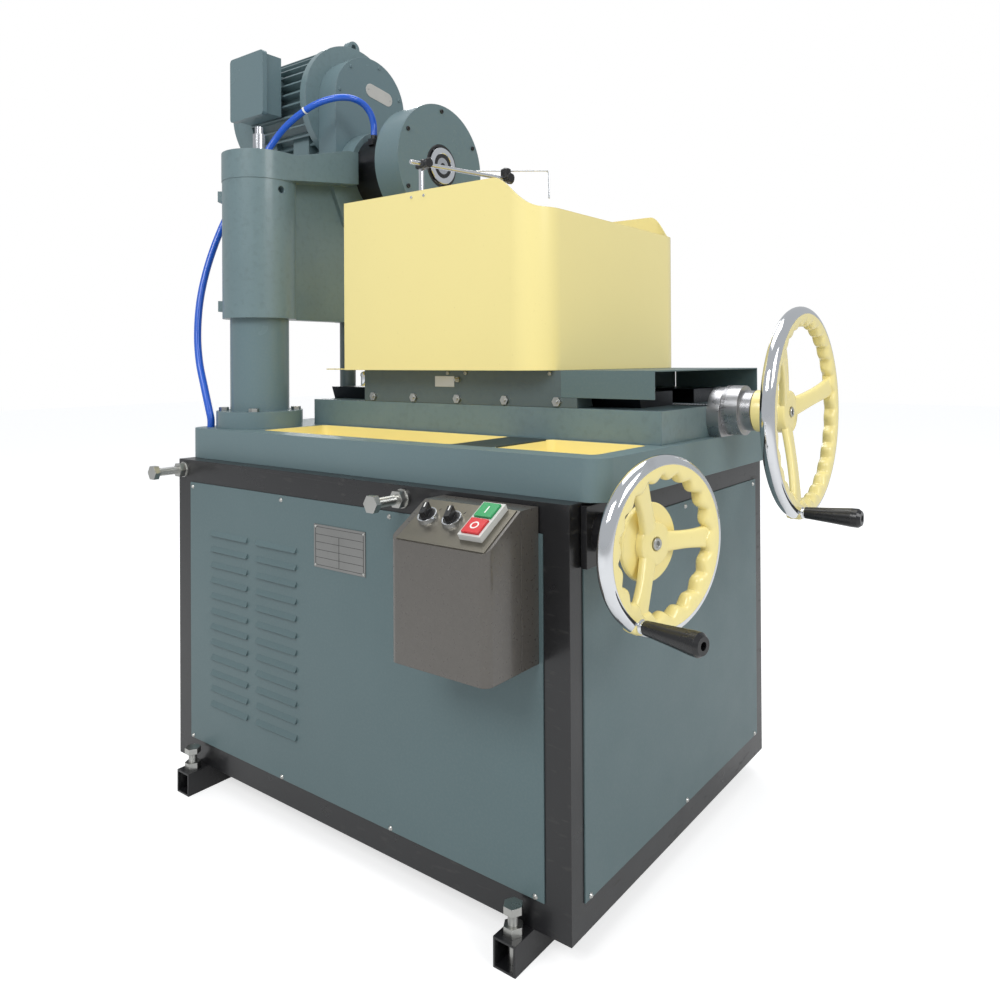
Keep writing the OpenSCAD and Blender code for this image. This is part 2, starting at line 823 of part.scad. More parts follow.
module tray_table() {
    inner_x0 = tray_x0 + tray_wall;
    inner_x1 = tray_x1 - tray_wall;
    inner_y0 = tray_y0 + tray_wall;
    inner_y1 = y1 - tray_wall;
    color(blue) difference() {
        union() {
            difference() {
                translate([0, 0, tray_z]) linear_extrude(tray_h)
                    round_rect(tray_x0, tray_y0, tray_x1, y1, tray_r);
                difference() {
                    block([inner_x0, inner_y0, tray_z - over], [inner_x1, inner_y1, table_z - tray_wall]);
                    for (p = [[pocket_x0, pocket_x1], [pocket_x2, pocket_x3]])
                        block([p[0] - tray_wall, pocket_y0 - tray_wall, table_z - pocket_d - tray_wall],
                            [p[1] + tray_wall, pocket_y1 + tray_wall, table_z]);
                    block([inner_x0, tray_y0, tray_z], [inner_x0 + 3 * tray_wall, pocket_y0, table_z]);
                    tray_bosses(tray_z);
                }
            }
            for (x = hanger_x)
                block([x - hanger_t / 2, hanger_y(x) - hanger_half, lift_wheel_z - hanger_half],
                    [x + hanger_t / 2, hanger_y(x) + hanger_half, table_z - tray_wall / 2]);
        }
        for (p = [[pocket_x0, pocket_x1], [pocket_x2, pocket_x3]]) {
            translate([0, 0, table_z - pocket_d]) linear_extrude(pocket_d + over)
                round_rect(p[0], pocket_y0, p[1], pocket_y1, tray_flat_r);
            zcyl(drain_d / 2, tray_z - over, table_z, (p[0] + p[1]) / 2, (pocket_y0 + pocket_y1) / 2);
        }
        zcyl(lift_journal_d / 2 + 2 * over, tray_z - over, table_z + over, col_x, col_y);
        zcyl(rod_d / 2 + fit, tray_z - over, table_z + over, rod_x, rod_y);
        zcyl(hose_d / 2 + seat, tray_z - over, table_z + over, hose_x, hose_y);
        for (p = flange_bolt_places) zcyl(flange_bolt_r + seat, table_z - 2 * tray_wall, table_z + over,
            p[0], p[1]);
        transfer_axis() cylinder(r = hub_shaft_r + fit, h = 2 * transfer_l, center = true);
    }
}

// Column, head and lift screw

module column() {
    bore_r = col_r - col_wall;
    color(blue) difference() {
        union() {
            zcyl(flange_d / 2, table_z, table_z + flange_h, col_x, col_y);
            zcyl(col_r, table_z, table_z + col_h, col_x, col_y);
        }
        zcyl(bore_r, table_z + flange_h, table_z + col_h + over, col_x, col_y);
        zcyl(lift_journal_d / 2 + fit, table_z - over, table_z + flange_h + over, col_x, col_y);
        for (p = flange_bolt_places) zcyl(flange_bolt_r + seat, table_z - over,
            table_z + flange_h + over, p[0], p[1]);
    }
}

module head_casting() {
    arm_y1 = -0.03 * boss_d;
    boss_x0 = guard_face_x;
    bush_r = 0.82 * rod_d;
    bush_top = spindle_z - 0.45 * boss_d;
    tab_turn = 35;
    color(blue) difference() {
        union() {
            zcyl(sleeve_r, sleeve_z, cap_z, col_x, col_y);
            zcyl(sleeve_r + over, cap_z, cap_top, col_x, col_y);
            along_x(col_x - sleeve_r - over, col_x + sleeve_r + over, [[col_y, cap_z], [arm_y1, arm_low],
                [arm_y1, arm_top], [arm_y1 - 0.9 * web_t, arm_top], [col_y + 0.55 * sleeve_r, cap_top],
                [col_y, cap_top]]);
            block([motor_x1 - 0.03 * motor_l - platform_l, arm_y1 - web_t, platform_low],
                [belt_x0 - gap, spindle_y + 0.94 * motor_r, arm_top]);
            block([boss_x0, arm_y1 - over, arm_low], [boss_x1, spindle_y, arm_top]);
            xcyl(boss_d / 2, boss_x0, boss_x1, spindle_y, spindle_z);
            block([rod_x - web_t / 2, col_y + col_r, sleeve_z], [rod_x + web_t / 2, rod_y, arm_low + over]);
            zcyl(bush_r, sleeve_z, bush_top, rod_x, rod_y);
            along_x(boss_x0, boss_x1, [[rod_y - 2.2 * web_t, arm_low + over], [rod_y - 0.9 * web_t,
                spindle_z - 0.62 * boss_d],
                [spindle_y, spindle_z - 0.5 * boss_d], [spindle_y, arm_low + over]]);
            for (z = [sleeve_z + web_t / 2, cap_z - 1.2 * web_t]) translate([col_x, col_y, z]) rotate([0,
                0, tab_turn])
                block([-sleeve_r - 0.3 * web_t, -0.4 * web_t, 0], [0, 0.4 * web_t, 0.7 * web_t]);
        }
        zcyl(col_r + fit, sleeve_z - over, cap_inner, col_x, col_y);
        zcyl(nut_r + seat, cap_inner - over, cap_top + over, col_x, col_y);
        zcyl(rod_d / 2 + seat, sleeve_z - over, rod_top, rod_x, rod_y);
        xcyl(spigot_ring_r + seat, boss_x0 - over, boss_x1 + over, spindle_y, spindle_z);
        xcyl(0.05 * sleeve_d, col_x + col_r, col_x + sleeve_r + over, col_y, cap_z - 0.07 * sleeve_l);
    }
}
nut_r = 0.75 * lift_screw_d;
spigot_ring_r = 0.34 * housing_d;
rod_top = spindle_z - 0.5 * boss_d - 0.2 * rod_d;

module guide_rod() {
    color(steel) zcyl(rod_d / 2, rod_top - rod_l, rod_top - seat, rod_x, rod_y);
}

module elevating_nut() {
    color("goldenrod") difference() {
        union() {
            zcyl(nut_r, cap_inner, cap_top, col_x, col_y);
            zcyl(1.5 * nut_r, cap_top, cap_top + 0.25 * cap_top_t, col_x, col_y);
        }
        zcyl(lift_screw_d / 2 + fit, cap_inner - over, cap_top + cap_top_t, col_x, col_y);
    }
}

lift_floor = table_z + flange_h;
gear_z = lift_wheel_z + mitre_r;
gear_hub = 0.5 * mitre_r;

module elevating_screw() {
    color(steel) {
        zcyl(lift_journal_d / 2, gear_z - mitre_face, lift_floor + over, col_x, col_y);
        zcyl(lift_screw_d / 2, lift_floor + fit, cap_top + 0.75 * lift_screw_out, col_x, col_y);
        zcyl(lift_journal_d / 2, cap_top + 0.75 * lift_screw_out - over, cap_top + lift_screw_out, col_x,
            col_y);
        translate([col_x, col_y, lift_wheel_z]) mitre_gear(gear_hub, transfer_yaw + 180 / mitre_teeth);
    }
}

// Tooth outline of a mitre gear at its outer end
mitre_points = [for (i = [0 : mitre_teeth - 1], k = [-1, 1, 2, 3])
    let (r = abs(k) == 1 ? mitre_r * (1 + mitre_high_share) : mitre_r * (1 - mitre_deep_share),
        turn_share = k == -1 ? -mitre_tooth_share / 2 : k == 1 ? mitre_tooth_share / 2 : k == 2 ? 0.32 : 0.68)
    r * [cos((i + turn_share) * 360 / mitre_teeth), sin((i + turn_share) * 360 / mitre_teeth)]];

// A mitre gear whose pitch cone points to the origin, with its axis along Z
module mitre_gear(hub, turn) {
    inner_share = (mitre_r - mitre_face) / mitre_r;
    translate([0, 0, mitre_r]) rotate([0, 0, turn]) mirror([0, 0, 1])
        linear_extrude(mitre_face, scale = inner_share) polygon(mitre_points);
    translate([0, 0, mitre_r - over / 2]) cylinder(r = 0.8 * mitre_r, h = hub);
}

// Lift shafts and handwheel. The yawed shaft starts at the wheel's middle and the long one
// runs from the coupling to the column.

coupling_x = x1 - 1.7 * tube;
coupling_s = (lift_wheel_x - coupling_x) / cos(lift_yaw);
coupling_y = lift_wheel_y + coupling_s * sin(lift_yaw);
transfer_l = sqrt(pow(coupling_x - col_x, 2) + pow(coupling_y - col_y, 2));
transfer_yaw = atan2(coupling_y - col_y, coupling_x - col_x);
lift_face = (lift_wheel_x - x1 - panel_t) / cos(lift_yaw);
lift_span = 2 * coupling_s;
coupling_r = 2.1 * hub_shaft_r;
hanger_x = [col_x + 2.5 * mitre_r, coupling_x - 3 * hub_shaft_r];
hanger_half = 2.2 * hub_shaft_r;
hanger_t = 0.8 * hanger_half;
function hanger_y(x) = col_y + (x - col_x) * tan(transfer_yaw);

// Z runs outwards along the yawed shaft, from zero at the wheel's middle
module lift_axis() {
    translate([lift_wheel_x, lift_wheel_y, lift_wheel_z]) rotate([0, 0, -lift_yaw]) outward() children();
}

// Z runs outwards along the long shaft, from zero at the column
module transfer_axis() {
    translate([col_x, col_y, lift_wheel_z]) rotate([0, 0, transfer_yaw]) outward() children();
}

hub_back = 0.28 * lift_wheel_r;
house_l = 0.5 * lift_face;

module shaft_bearing() {
    color(black) difference() {
        union() {
            block([x1 + panel_t, bearing_y - 1.5 * hub_r, lift_wheel_z - 1.6 * hub_r],
                [x1 + panel_t + 3 * tube_wall, bearing_y + 1.5 * hub_r, lift_wheel_z + 1.5 * hub_r]);
            lift_axis() translate([0, 0, -lift_face + tube_wall]) cylinder(r = hub_r, h = house_l);
        }
        lift_axis() cylinder(r = hub_shaft_r + fit, h = lift_span, center = true);
        block([x1 - tube, bearing_y - 3 * hub_r, lift_wheel_z - 3 * hub_r],
            [x1 + panel_t, bearing_y + 3 * hub_r, lift_wheel_z + 3 * hub_r]);
    }
}
bearing_y = lift_wheel_y + lift_face * sin(lift_yaw);
house_end = -lift_face + tube_wall + house_l;
lift_dial_l = -hub_back - house_end - 2 * gap;

module lift_shaft() {
    ball_r = 1.3 * hub_shaft_r;
    color(steel) lift_axis() difference() {
        union() {
            translate([0, 0, -coupling_s + coupling_r]) cylinder(r = hub_shaft_r,
                h = coupling_s - coupling_r + 0.12 * lift_wheel_r);
            translate([0, 0, -coupling_s - coupling_r / 2]) cylinder(r = coupling_r, h = 1.5 * coupling_r);
            translate([0, 0, 0.06 * lift_wheel_r]) hex(1.2 * hub_r, 0.1 * lift_wheel_r);
        }
        translate([0, 0, -coupling_s - coupling_r]) cylinder(r = ball_r + fit, h = coupling_r + ball_r);
    }
}

module transfer_shaft() {
    ball_r = 1.3 * hub_shaft_r;
    color(steel) transfer_axis() {
        translate([0, 0, mitre_r]) cylinder(r = hub_shaft_r, h = transfer_l - mitre_r);
        translate([0, 0, transfer_l]) sphere(r = ball_r);
        mitre_gear(gear_hub, 90);
    }
}

module lift_dial() {
    color(steel) lift_axis() translate([0, 0, house_end + gap]) difference() {
        cylinder(r = 0.9 * hub_r, h = lift_dial_l + gap);
        translate([0, 0, -over]) cylinder(r = hub_shaft_r + seat, h = lift_dial_l + 3 * over);
    }
}

// A handwheel on the Z axis: rim, inner grip ring with finger hollows, dished spokes and hub
module handwheel(mean_r, back, nut_l) {
    ring_r = mean_r - 0.6 * rim_r;
    ring_w = 1.3 * rim_r;
    spoke_half = 0.45 * hub_r;
    scallops = round(mean_r / rim_r * 2.2);
    difference() {
        union() {
            rotate_extrude() translate([mean_r, 0]) circle(rim_r);
            difference() {
                translate([0, 0, -0.7 * rim_r]) cylinder(r = ring_r, h = 1.4 * rim_r);
                translate([0, 0, -rim_r]) cylinder(r = ring_r - ring_w, h = 2 * rim_r);
                for (i = [0 : scallops - 1]) rotate([0, 0, i * 360 / scallops])
                    translate([ring_r - ring_w, 0, -rim_r])
                    cylinder(r = 0.62 * rim_r, h = 2 * rim_r);
            }
            for (i = [0 : 2]) rotate([0, 0, 180 + i * 120]) rotate([90, 0, 0]) translate([0, 0, -spoke_half])
                linear_extrude(2 * spoke_half) polygon([[0.6 * hub_r, -back], [0.6 * hub_r,
                    -back + 1.2 * rim_r],
                    [ring_r - 0.8 * ring_w, 0.55 * rim_r], [ring_r - 0.8 * ring_w, -0.55 * rim_r]]);
            translate([0, 0, -back]) cylinder(r = hub_r, h = back + 0.5 * rim_r);
        }
        translate([0, 0, -back - over]) cylinder(r = hub_shaft_r + seat, h = back + rim_r + 2 * over);
        translate([-mean_r, 0, 0]) cylinder(r = pin_r + seat, h = 2 * rim_r);
    }
    translate([-mean_r, 0, 0]) {
        cylinder(r = pin_r, h = rim_r + grip_l);
        translate([0, 0, rim_r + grip_l]) cylinder(r = 1.5 * pin_r, h = 0.5 * pin_r);
        translate([0, 0, rim_r]) cylinder(r = 1.8 * pin_r, h = pin_r);
    }
}
pin_r = 0.45 * rim_r;

module grip() {
    inner_r = 0.62 * grip_r;
    translate([0, 0, rim_r + pin_r + gap]) rotate_extrude() polygon([[pin_r + fit, 0], [inner_r, 0],
        [0.8 * grip_r, 0.4 * grip_l], [grip_r, 0.78 * grip_l], [grip_r, 0.88 * grip_l], [0.75 * grip_r,
            grip_l - pin_r - 2 * gap],
        [pin_r + fit, grip_l - pin_r - 2 * gap]]);
}

// Turn of each wheel so that its grip stands where the photograph shows it
lift_turn = 60;
cross_turn = 75;

module lift_handwheel() {
    color(cream) lift_axis() rotate([0, 0, lift_turn]) handwheel(lift_wheel_r, hub_back);
}

module lift_grip() {
    color(black) lift_axis() rotate([0, 0, lift_turn]) translate([-lift_wheel_r, 0, 0]) grip();
}

// Cross slide

module slide_base() {
    color(blue) difference() {
        block([base_x0, base_y0, table_z], [base_x1, base_y1, base_z]);
        block([base_x0 + 0.33 * slot_w, slot_y0, groove_z], [base_x1 + over, slot_y1, base_z + over]);
        xcyl(lead_journal_r + fit, base_x0 + over, base_x0 + slot_w, spindle_y, lead_z);
    }
    color(blue) difference() {
        block([base_x0, slot_y0 + gap, base_z], [base_x0 + 0.33 * slot_w, slot_y1 - gap, way_z - 2 * gap]);
        xcyl(lead_journal_r + fit, base_x0 + over, base_x0 + slot_w, spindle_y, lead_z);
    }
}
lead_journal_r = 0.7 * lead_r;

module dovetail_ways() {
    color(black) {
        along_x(base_x0, way_x1, [[slot_y0, base_z], [way_y0 + way_cut, base_z], [way_y0, way_z],
            [slot_y0, way_z]]);
        along_x(base_x0, way_x1, [[slot_y1, base_z], [way_y1 - way_cut, base_z], [way_y1, way_z],
            [slot_y1, way_z]]);
    }
}

module screw_flange() {
    flange_z = lead_z - 0.2 * end_flange_r;
    color(grey) difference() {
        xcyl(end_flange_r, base_x1, base_x1 + end_flange_t, spindle_y, flange_z);
        block([base_x1 - over, base_y0, table_z - end_flange_r], [tray_x1 + end_flange_t, base_y1, table_z]);
        xcyl(hub_shaft_r + fit, base_x1 - over, base_x1 + end_flange_t + over, spindle_y, lead_z);
    }
}

flank = way_cut / way_h;
slot_ceiling = way_z + fit;

// The room that the carriage leaves for the ways and the gib
module carriage_slot() {
    low = base_z - over;
    near_top = way_y0 - gib_t - 2 * fit;
    near_low = near_top + (slot_ceiling - low) * flank;
    far_top = way_y1 + 2 * fit;
    far_low = far_top - (slot_ceiling - low) * flank;
    along_x(car_x0 - over, car_x1 + lip_l + over, [[near_low, low], [near_top, slot_ceiling], [far_top,
        slot_ceiling],
        [far_low, low]]);
}

gib_screw_z = base_z + 0.4 * way_h;
gib_screw_r = 0.55 * gib_t;
function gib_screw_x(i) = car_x0 + 0.056 * car_l + i * 0.232 * car_l * 4 / (gib_screws_n - 1);

module carriage() {
    color(blue) difference() {
        union() {
            block([car_x0, base_y0, car_bottom], [car_x1, base_y1, car_z]);
            block([car_x1 - over, base_y0, car_bottom], [car_x1 + lip_l, base_y1, car_bottom + lip_h]);
        }
        carriage_slot();
        for (i = [0 : gib_screws_n - 1]) ycyl(gib_screw_r + seat, base_y0 - over, way_y0, gib_screw_x(i),
            gib_screw_z);
    }
}

module gib_strip() {
    top = way_z - gap;
    low = car_bottom;
    near_top = way_y0 - gib_t - fit + gap * flank;
    near_low = near_top + (top - low) * flank;
    color(grey) along_x(car_x0, car_x1, [[near_low, low], [near_top, top], [near_top + gib_t, top],
        [near_low + gib_t, low]]);
}

module gib_screws() {
    gib_face = way_y0 - gib_t - 2 * fit + (slot_ceiling - gib_screw_z - gib_screw_r) * flank - gap;
    color(steel) for (i = [0 : gib_screws_n - 1]) {
        ycyl(gib_screw_r, base_y0 - gib_t, gib_face, gib_screw_x(i), gib_screw_z);
        translate([gib_screw_x(i), base_y0, gib_screw_z]) rotate([90, 0, 0]) difference() {
            hex(2.4 * gib_t, 0.7 * gib_t);
            translate([0, 0, -over]) cylinder(r = gib_screw_r + seat, h = 2 * gib_t);
        }
    }
}

module way_cover() {
    low = car_bottom + lip_h + gap;
    color(blue) difference() {
        block([car_x1, base_y0, low], [way_cover_x1, base_y1 + 2 * way_cover_t, car_z]);
        block([car_x1 - over, base_y0 + way_cover_t, low - over],
            [way_cover_x1 + over, base_y1 + way_cover_t, car_z - way_cover_t]);
    }
}

module lead_nut() {
    color("goldenrod") difference() {
        block([car_x0 + 0.38 * car_l, spindle_y - 0.36 * slot_w, groove_z + 0.03 * slot_w],
            [car_x0 + 0.52 * car_l, spindle_y + 0.36 * slot_w, slot_ceiling]);
        xcyl(lead_r + fit, car_x0, car_x1, spindle_y, lead_z);
    }
}

dial_x0 = base_x1 + end_flange_t + gap;
dial_x1 = dial_x0 + dial_l;
cross_back = cross_wheel_x - dial_x1 - gap;
lead_x0 = base_x0 + 2 * over;

module lead_screw() {
    step_x0 = base_x0 + 0.33 * slot_w + gap;
    step_x1 = base_x1 - gap;
    color(steel) {
        xcyl(lead_journal_r, lead_x0, step_x0 + over, spindle_y, lead_z);
        xcyl(lead_r, step_x0, step_x1, spindle_y, lead_z);
        xcyl(hub_shaft_r - over, step_x1 - over, base_x1 + over, spindle_y, lead_z);
        xcyl(hub_shaft_r, base_x1, cross_wheel_x + 0.1 * lift_wheel_r, spindle_y, lead_z);
        translate([cross_wheel_x + 0.5 * rim_r, spindle_y, lead_z]) outward() hex(1.2 * hub_r,
            0.1 * lift_wheel_r);
    }
}

module cross_dial() {
    color(steel) difference() {
        union() {
            xcyl(dial_r, dial_x0, dial_x0 + 0.6 * dial_l, spindle_y, lead_z);
            xcyl(0.8 * dial_r, dial_x0 + 0.6 * dial_l - over, dial_x1, spindle_y, lead_z);
        }
        xcyl(hub_shaft_r + seat, dial_x0 - over, dial_x1 + over, spindle_y, lead_z);
    }
}

module cross_place() {
    translate([cross_wheel_x, spindle_y, lead_z]) outward() rotate([0, 0, cross_turn]) children();
}

module cross_handwheel() {
    color(cream) cross_place() handwheel(cross_wheel_r, cross_back);
}

module cross_grip() {
    color(black) cross_place() translate([-cross_wheel_r, 0, 0]) grip();
}

// Splash guard with its dipping rim

dip_steps = 12;

// Rim outline from where the dip starts to the low right wall
function dip(xa) = concat([for (i = [0 : dip_steps]) let (k = i / dip_steps)
    [xa + k * (guard_x1 - xa - 0.16 * guard_r), guard_top - (guard_top - guard_low) * (1 - cos(180 * k))
        / 2]],
    [[guard_x1 + over, guard_low], [guard_x1 + over, guard_top + over], [xa, guard_top + over]]);

module rim_cut(xa, ya, yb) {
    translate([0, yb, 0]) rotate([90, 0, 0]) linear_extrude(yb - ya) polygon(dip(xa));
}

module guard_plan(w) {
    difference() {
        round_rect(guard_x0 - guard_r - over, guard_y0 + w, guard_x1 - w, guard_y1 - w, guard_r - w);
        translate([guard_x0 - 3 * guard_r, guard_y0 - over]) square([3 * guard_r,
            guard_y1 - guard_y0 + 2 * over]);
    }
}

module splash_guard() {
    floor_t = 0.7 * guard_t;
    color(cream) difference() {
        union() {
            translate([0, 0, guard_z]) linear_extrude(guard_h) difference() {
                guard_plan(0);
                guard_plan(guard_t);
            }
            translate([0, 0, guard_z]) linear_extrude(floor_t) guard_plan(0);
            block([tongue_x0, base_y0, guard_z], [guard_x0 + over, base_y0 + 0.18 * base_w,
                guard_z + floor_t]);
        }
        translate([0, 0, guard_z - over]) linear_extrude(floor_t + 2 * over) chuck_foot_plan(seat);
        rim_cut(dip_x_front, guard_y0 - over, spindle_y);
        rim_cut(dip_x_back, spindle_y - over, guard_y1 + over);
        for (dx = [-1, 1]) ycyl(0.25 * post_d, guard_y0 - over, guard_y0 + 2 * guard_t,
            post_x + dx * 1.5 * post_d, clamp_z);
    }
}

// Chuck and its drive

drive_motor_r = 0.8 * chuck_house_r;
drive_x = chuck_x + 2.1 * chuck_house_r;
drive_y = chuck_y + 1.9 * chuck_house_r;

module chuck_foot_plan(c) {
    translate([chuck_x, chuck_y]) circle(chuck_house_r + c);
    translate([drive_x, drive_y]) circle(drive_motor_r + c);
}

module chuck_drive() {
    house_top = chuck_z - chuck_t - gap;
    box_h = 0.9 * chuck_house_r;
    box_zz = guard_z + guard_t;
    color(blue) difference() {
        union() {
            translate([0, 0, guard_z]) linear_extrude(guard_t + over) chuck_foot_plan(0);
            zcyl(chuck_house_r, guard_z, house_top, chuck_x, chuck_y);
            zcyl(drive_motor_r, guard_z, house_top - 0.4 * chuck_house_r, drive_x, drive_y);
            translate([chuck_x, chuck_y, box_zz]) rotate([0, 0, atan2(drive_y - chuck_y, drive_x - chuck_x)])
                block([0, -0.5 * chuck_house_r, 0], [2.6 * chuck_house_r, 0.5 * chuck_house_r, box_h]);
        }
        zcyl(chuck_spindle_r + fit, guard_z + tray_wall, house_top + over, chuck_x, chuck_y);
    }
}

module work_chuck() {
    color(steel) difference() {
        union() {
            zcyl(chuck_r, chuck_z - chuck_t, chuck_z, chuck_x, chuck_y);
            zcyl(spigot_r, chuck_z - over, chuck_z + spigot_h, chuck_x, chuck_y);
            zcyl(chuck_spindle_r, guard_z + tray_wall + gap, chuck_z - chuck_t + over, chuck_x, chuck_y);
        }
        for (i = [0 : chuck_holes - 1])
            zcyl(chuck_hole_d / 2, chuck_z - chuck_t - over, chuck_z + over,
                chuck_x + chuck_pcd / 2 * cos(i * 360 / chuck_holes),
                    chuck_y + chuck_pcd / 2 * sin(i * 360 / chuck_holes));
    }
}

// Gauge stand

module gauge_post() {
    color(steel) {
        zcyl(post_d / 2, clamp_z - 2 * post_d, post_top, post_x, post_y);
        difference() {
            block([post_x - 2.4 * post_d, guard_y0 + guard_t, clamp_z - 0.8 * post_d],
                [post_x + 2.4 * post_d, post_y + 0.9 * post_d, clamp_z + 0.8 * post_d]);
            zcyl(post_d / 2 - seat, guard_low - over, guard_top + over, post_x, post_y);
        }
        for (dx = [-1, 1]) ycyl(0.25 * post_d - seat, guard_y0 - 0.15 * post_d, guard_y0 + guard_t,
            post_x + dx * 1.5 * post_d, clamp_z);
    }
}

rod_turn = 77.3;
arm_z = post_top - 0.5 * post_d;
pointer_z = arm_z + 0.9 * cross_rod_d + 0.8 * post_d;
rod_end_x = 0.87 * cross_rod_l;

// X runs along the cross rod, from zero at the post
module on_rod() {
    translate([post_x, post_y, 0]) rotate([0, 0, rod_turn]) children();
}

module gauge_arm() {
    side = 0.5 * post_d + 0.6 * cross_rod_d;
    color(steel) on_rod() {
        translate([0, -side, 0]) xcyl(cross_rod_d / 2, -0.13 * cross_rod_l, rod_end_x, 0, arm_z);
        difference() {
            block([-0.9 * post_d, -side - 0.9 * cross_rod_d, arm_z - 0.8 * post_d], [0.9 * post_d,
                0.8 * post_d, arm_z + 0.8 * post_d]);
            translate([0, 0, arm_z - 2 * post_d]) cylinder(r = post_d / 2 + fit, h = 4 * post_d);
        }
        block([rod_end_x - 1.8 * post_d, -side - 0.8 * post_d, arm_z - 0.7 * post_d],
            [rod_end_x, -side + 0.8 * post_d, pointer_z + 2 * pointer_d]);
        translate([rod_end_x - 0.9 * post_d, -side, pointer_z]) rotate([0, 0, -40.4]) {
            xcyl(pointer_d / 2, -0.38 * pointer_l, 0.55 * pointer_l, 0, 0);
            translate([0.55 * pointer_l, 0, -pointer_drop]) cylinder(r = pointer_d / 2, h = pointer_drop);
            translate([0.55 * pointer_l, 0, 0]) sphere(r = pointer_d / 2);
        }
    }
}

// Grinding spindle, belt drive and motor

module stadium(r) {
    circle(r);
    translate([0, motor_up]) circle(r);
    translate([-r, 0]) square([2 * r, motor_up]);
}

// Outlines drawn round the spindle, with Y across and Z up
module at_spindle(xa) {
    translate([xa, spindle_y, spindle_z]) rotate([90, 0, 90]) children();
}

module belt_guard() {
    t = belt_guard_t;
    color(blue) difference() {
        at_spindle(belt_x0) linear_extrude(belt_guard_w) stadium(belt_guard_r);
        at_spindle(belt_x0 + t) linear_extrude(belt_guard_w - 2 * t) stadium(belt_guard_r - t);
        xcyl(spigot_ring_r, belt_x1 - 2 * t, belt_x1 + over, spindle_y, spindle_z);
        xcyl(2.2 * motor_shaft_r, belt_x0 - over, belt_x0 + 2 * t, spindle_y, motor_z);
    }
}

module drive_belt() {
    mid = belt_x0 + belt_guard_w / 2;
    color(black) at_spindle(mid - 0.45 * pulley_w) linear_extrude(0.9 * pulley_w) difference() {
        stadium(pulley_r + gap + belt_t);
        stadium(pulley_r + gap);
    }
}

pulley_x0 = belt_x0 + (belt_guard_w - pulley_w) / 2;
pulley_x1 = pulley_x0 + pulley_w;
spindle_x1 = drum_x1 + cover_t;
wheel_x0 = drum_x0 + (drum_w - wheel_w) * 0.45;
wheel_x1 = wheel_x0 + wheel_w;
wheel_flange_r = 2 * spindle_r;

module motor_rotor() {
    color(steel) {
        xcyl(motor_shaft_r, motor_x0 + 0.1 * motor_l, pulley_x1, spindle_y, motor_z);
        xcyl(pulley_r, pulley_x0, pulley_x1, spindle_y, motor_z);
        xcyl(0.5 * motor_core_r, motor_x0 + 0.35 * motor_l, motor_x1 - 0.22 * motor_l, spindle_y, motor_z);
    }
}

module wheel_spindle() {
    color(steel) {
        xcyl(pulley_r, pulley_x0, pulley_x1, spindle_y, spindle_z);
        xcyl(spindle_r, pulley_x0, wheel_x1 + 0.2 * wheel_w, spindle_y, spindle_z);
        xcyl(wheel_flange_r, wheel_x0 - 0.2 * wheel_w, wheel_x0, spindle_y, spindle_z);
        xcyl(wheel_flange_r * 0.8, wheel_x1, wheel_x1 + 0.2 * wheel_w, spindle_y, spindle_z);
        translate([wheel_x1, spindle_y, spindle_z]) outward() hex(1.3 * spindle_d, spindle_x1 - wheel_x1);
    }
}

module grinding_wheel() {
    color("sienna") difference() {
        xcyl(wheel_r, wheel_x0, wheel_x1, spindle_y, spindle_z);
        xcyl(spindle_r + seat, wheel_x0 - over, wheel_x1 + over, spindle_y, spindle_z);
    }
}

module spindle_housing() {
    color(black) difference() {
        union() {
            xcyl(housing_d / 2, boss_x1, housing_x1, spindle_y, spindle_z);
            xcyl(spigot_ring_r, guard_face_x - 1.5 * belt_guard_t, boss_x1 + over, spindle_y, spindle_z);
        }
        xcyl(spindle_r + fit, guard_face_x - boss_t, housing_x1 + over, spindle_y, spindle_z);
    }
}

module drum_bottom() {
    block([drum_x0 - over, spindle_y - drum_r - over, spindle_z - drum_r - over],
        [drum_x1 + over, spindle_y + drum_r + over, spindle_z - drum_cut]);
}

module wheel_guard() {
    color(blue) difference() {
        xcyl(drum_r, drum_x0, drum_x1 - cover_t, spindle_y, spindle_z);
        xcyl(drum_r - drum_t, drum_x0 + drum_t, drum_x1, spindle_y, spindle_z);
        xcyl(spindle_r + 3 * drum_t, drum_x0 - over, drum_x0 + 2 * drum_t, spindle_y, spindle_z);
        drum_bottom();
    }
}

module wheel_cover() {
    color(blue) difference() {
        xcyl(drum_r, drum_x1 - cover_t, drum_x1, spindle_y, spindle_z);
        xcyl(cover_hole_r, drum_x1 - cover_t - over, drum_x1 + over, spindle_y, spindle_z);
        drum_bottom();
    }
}

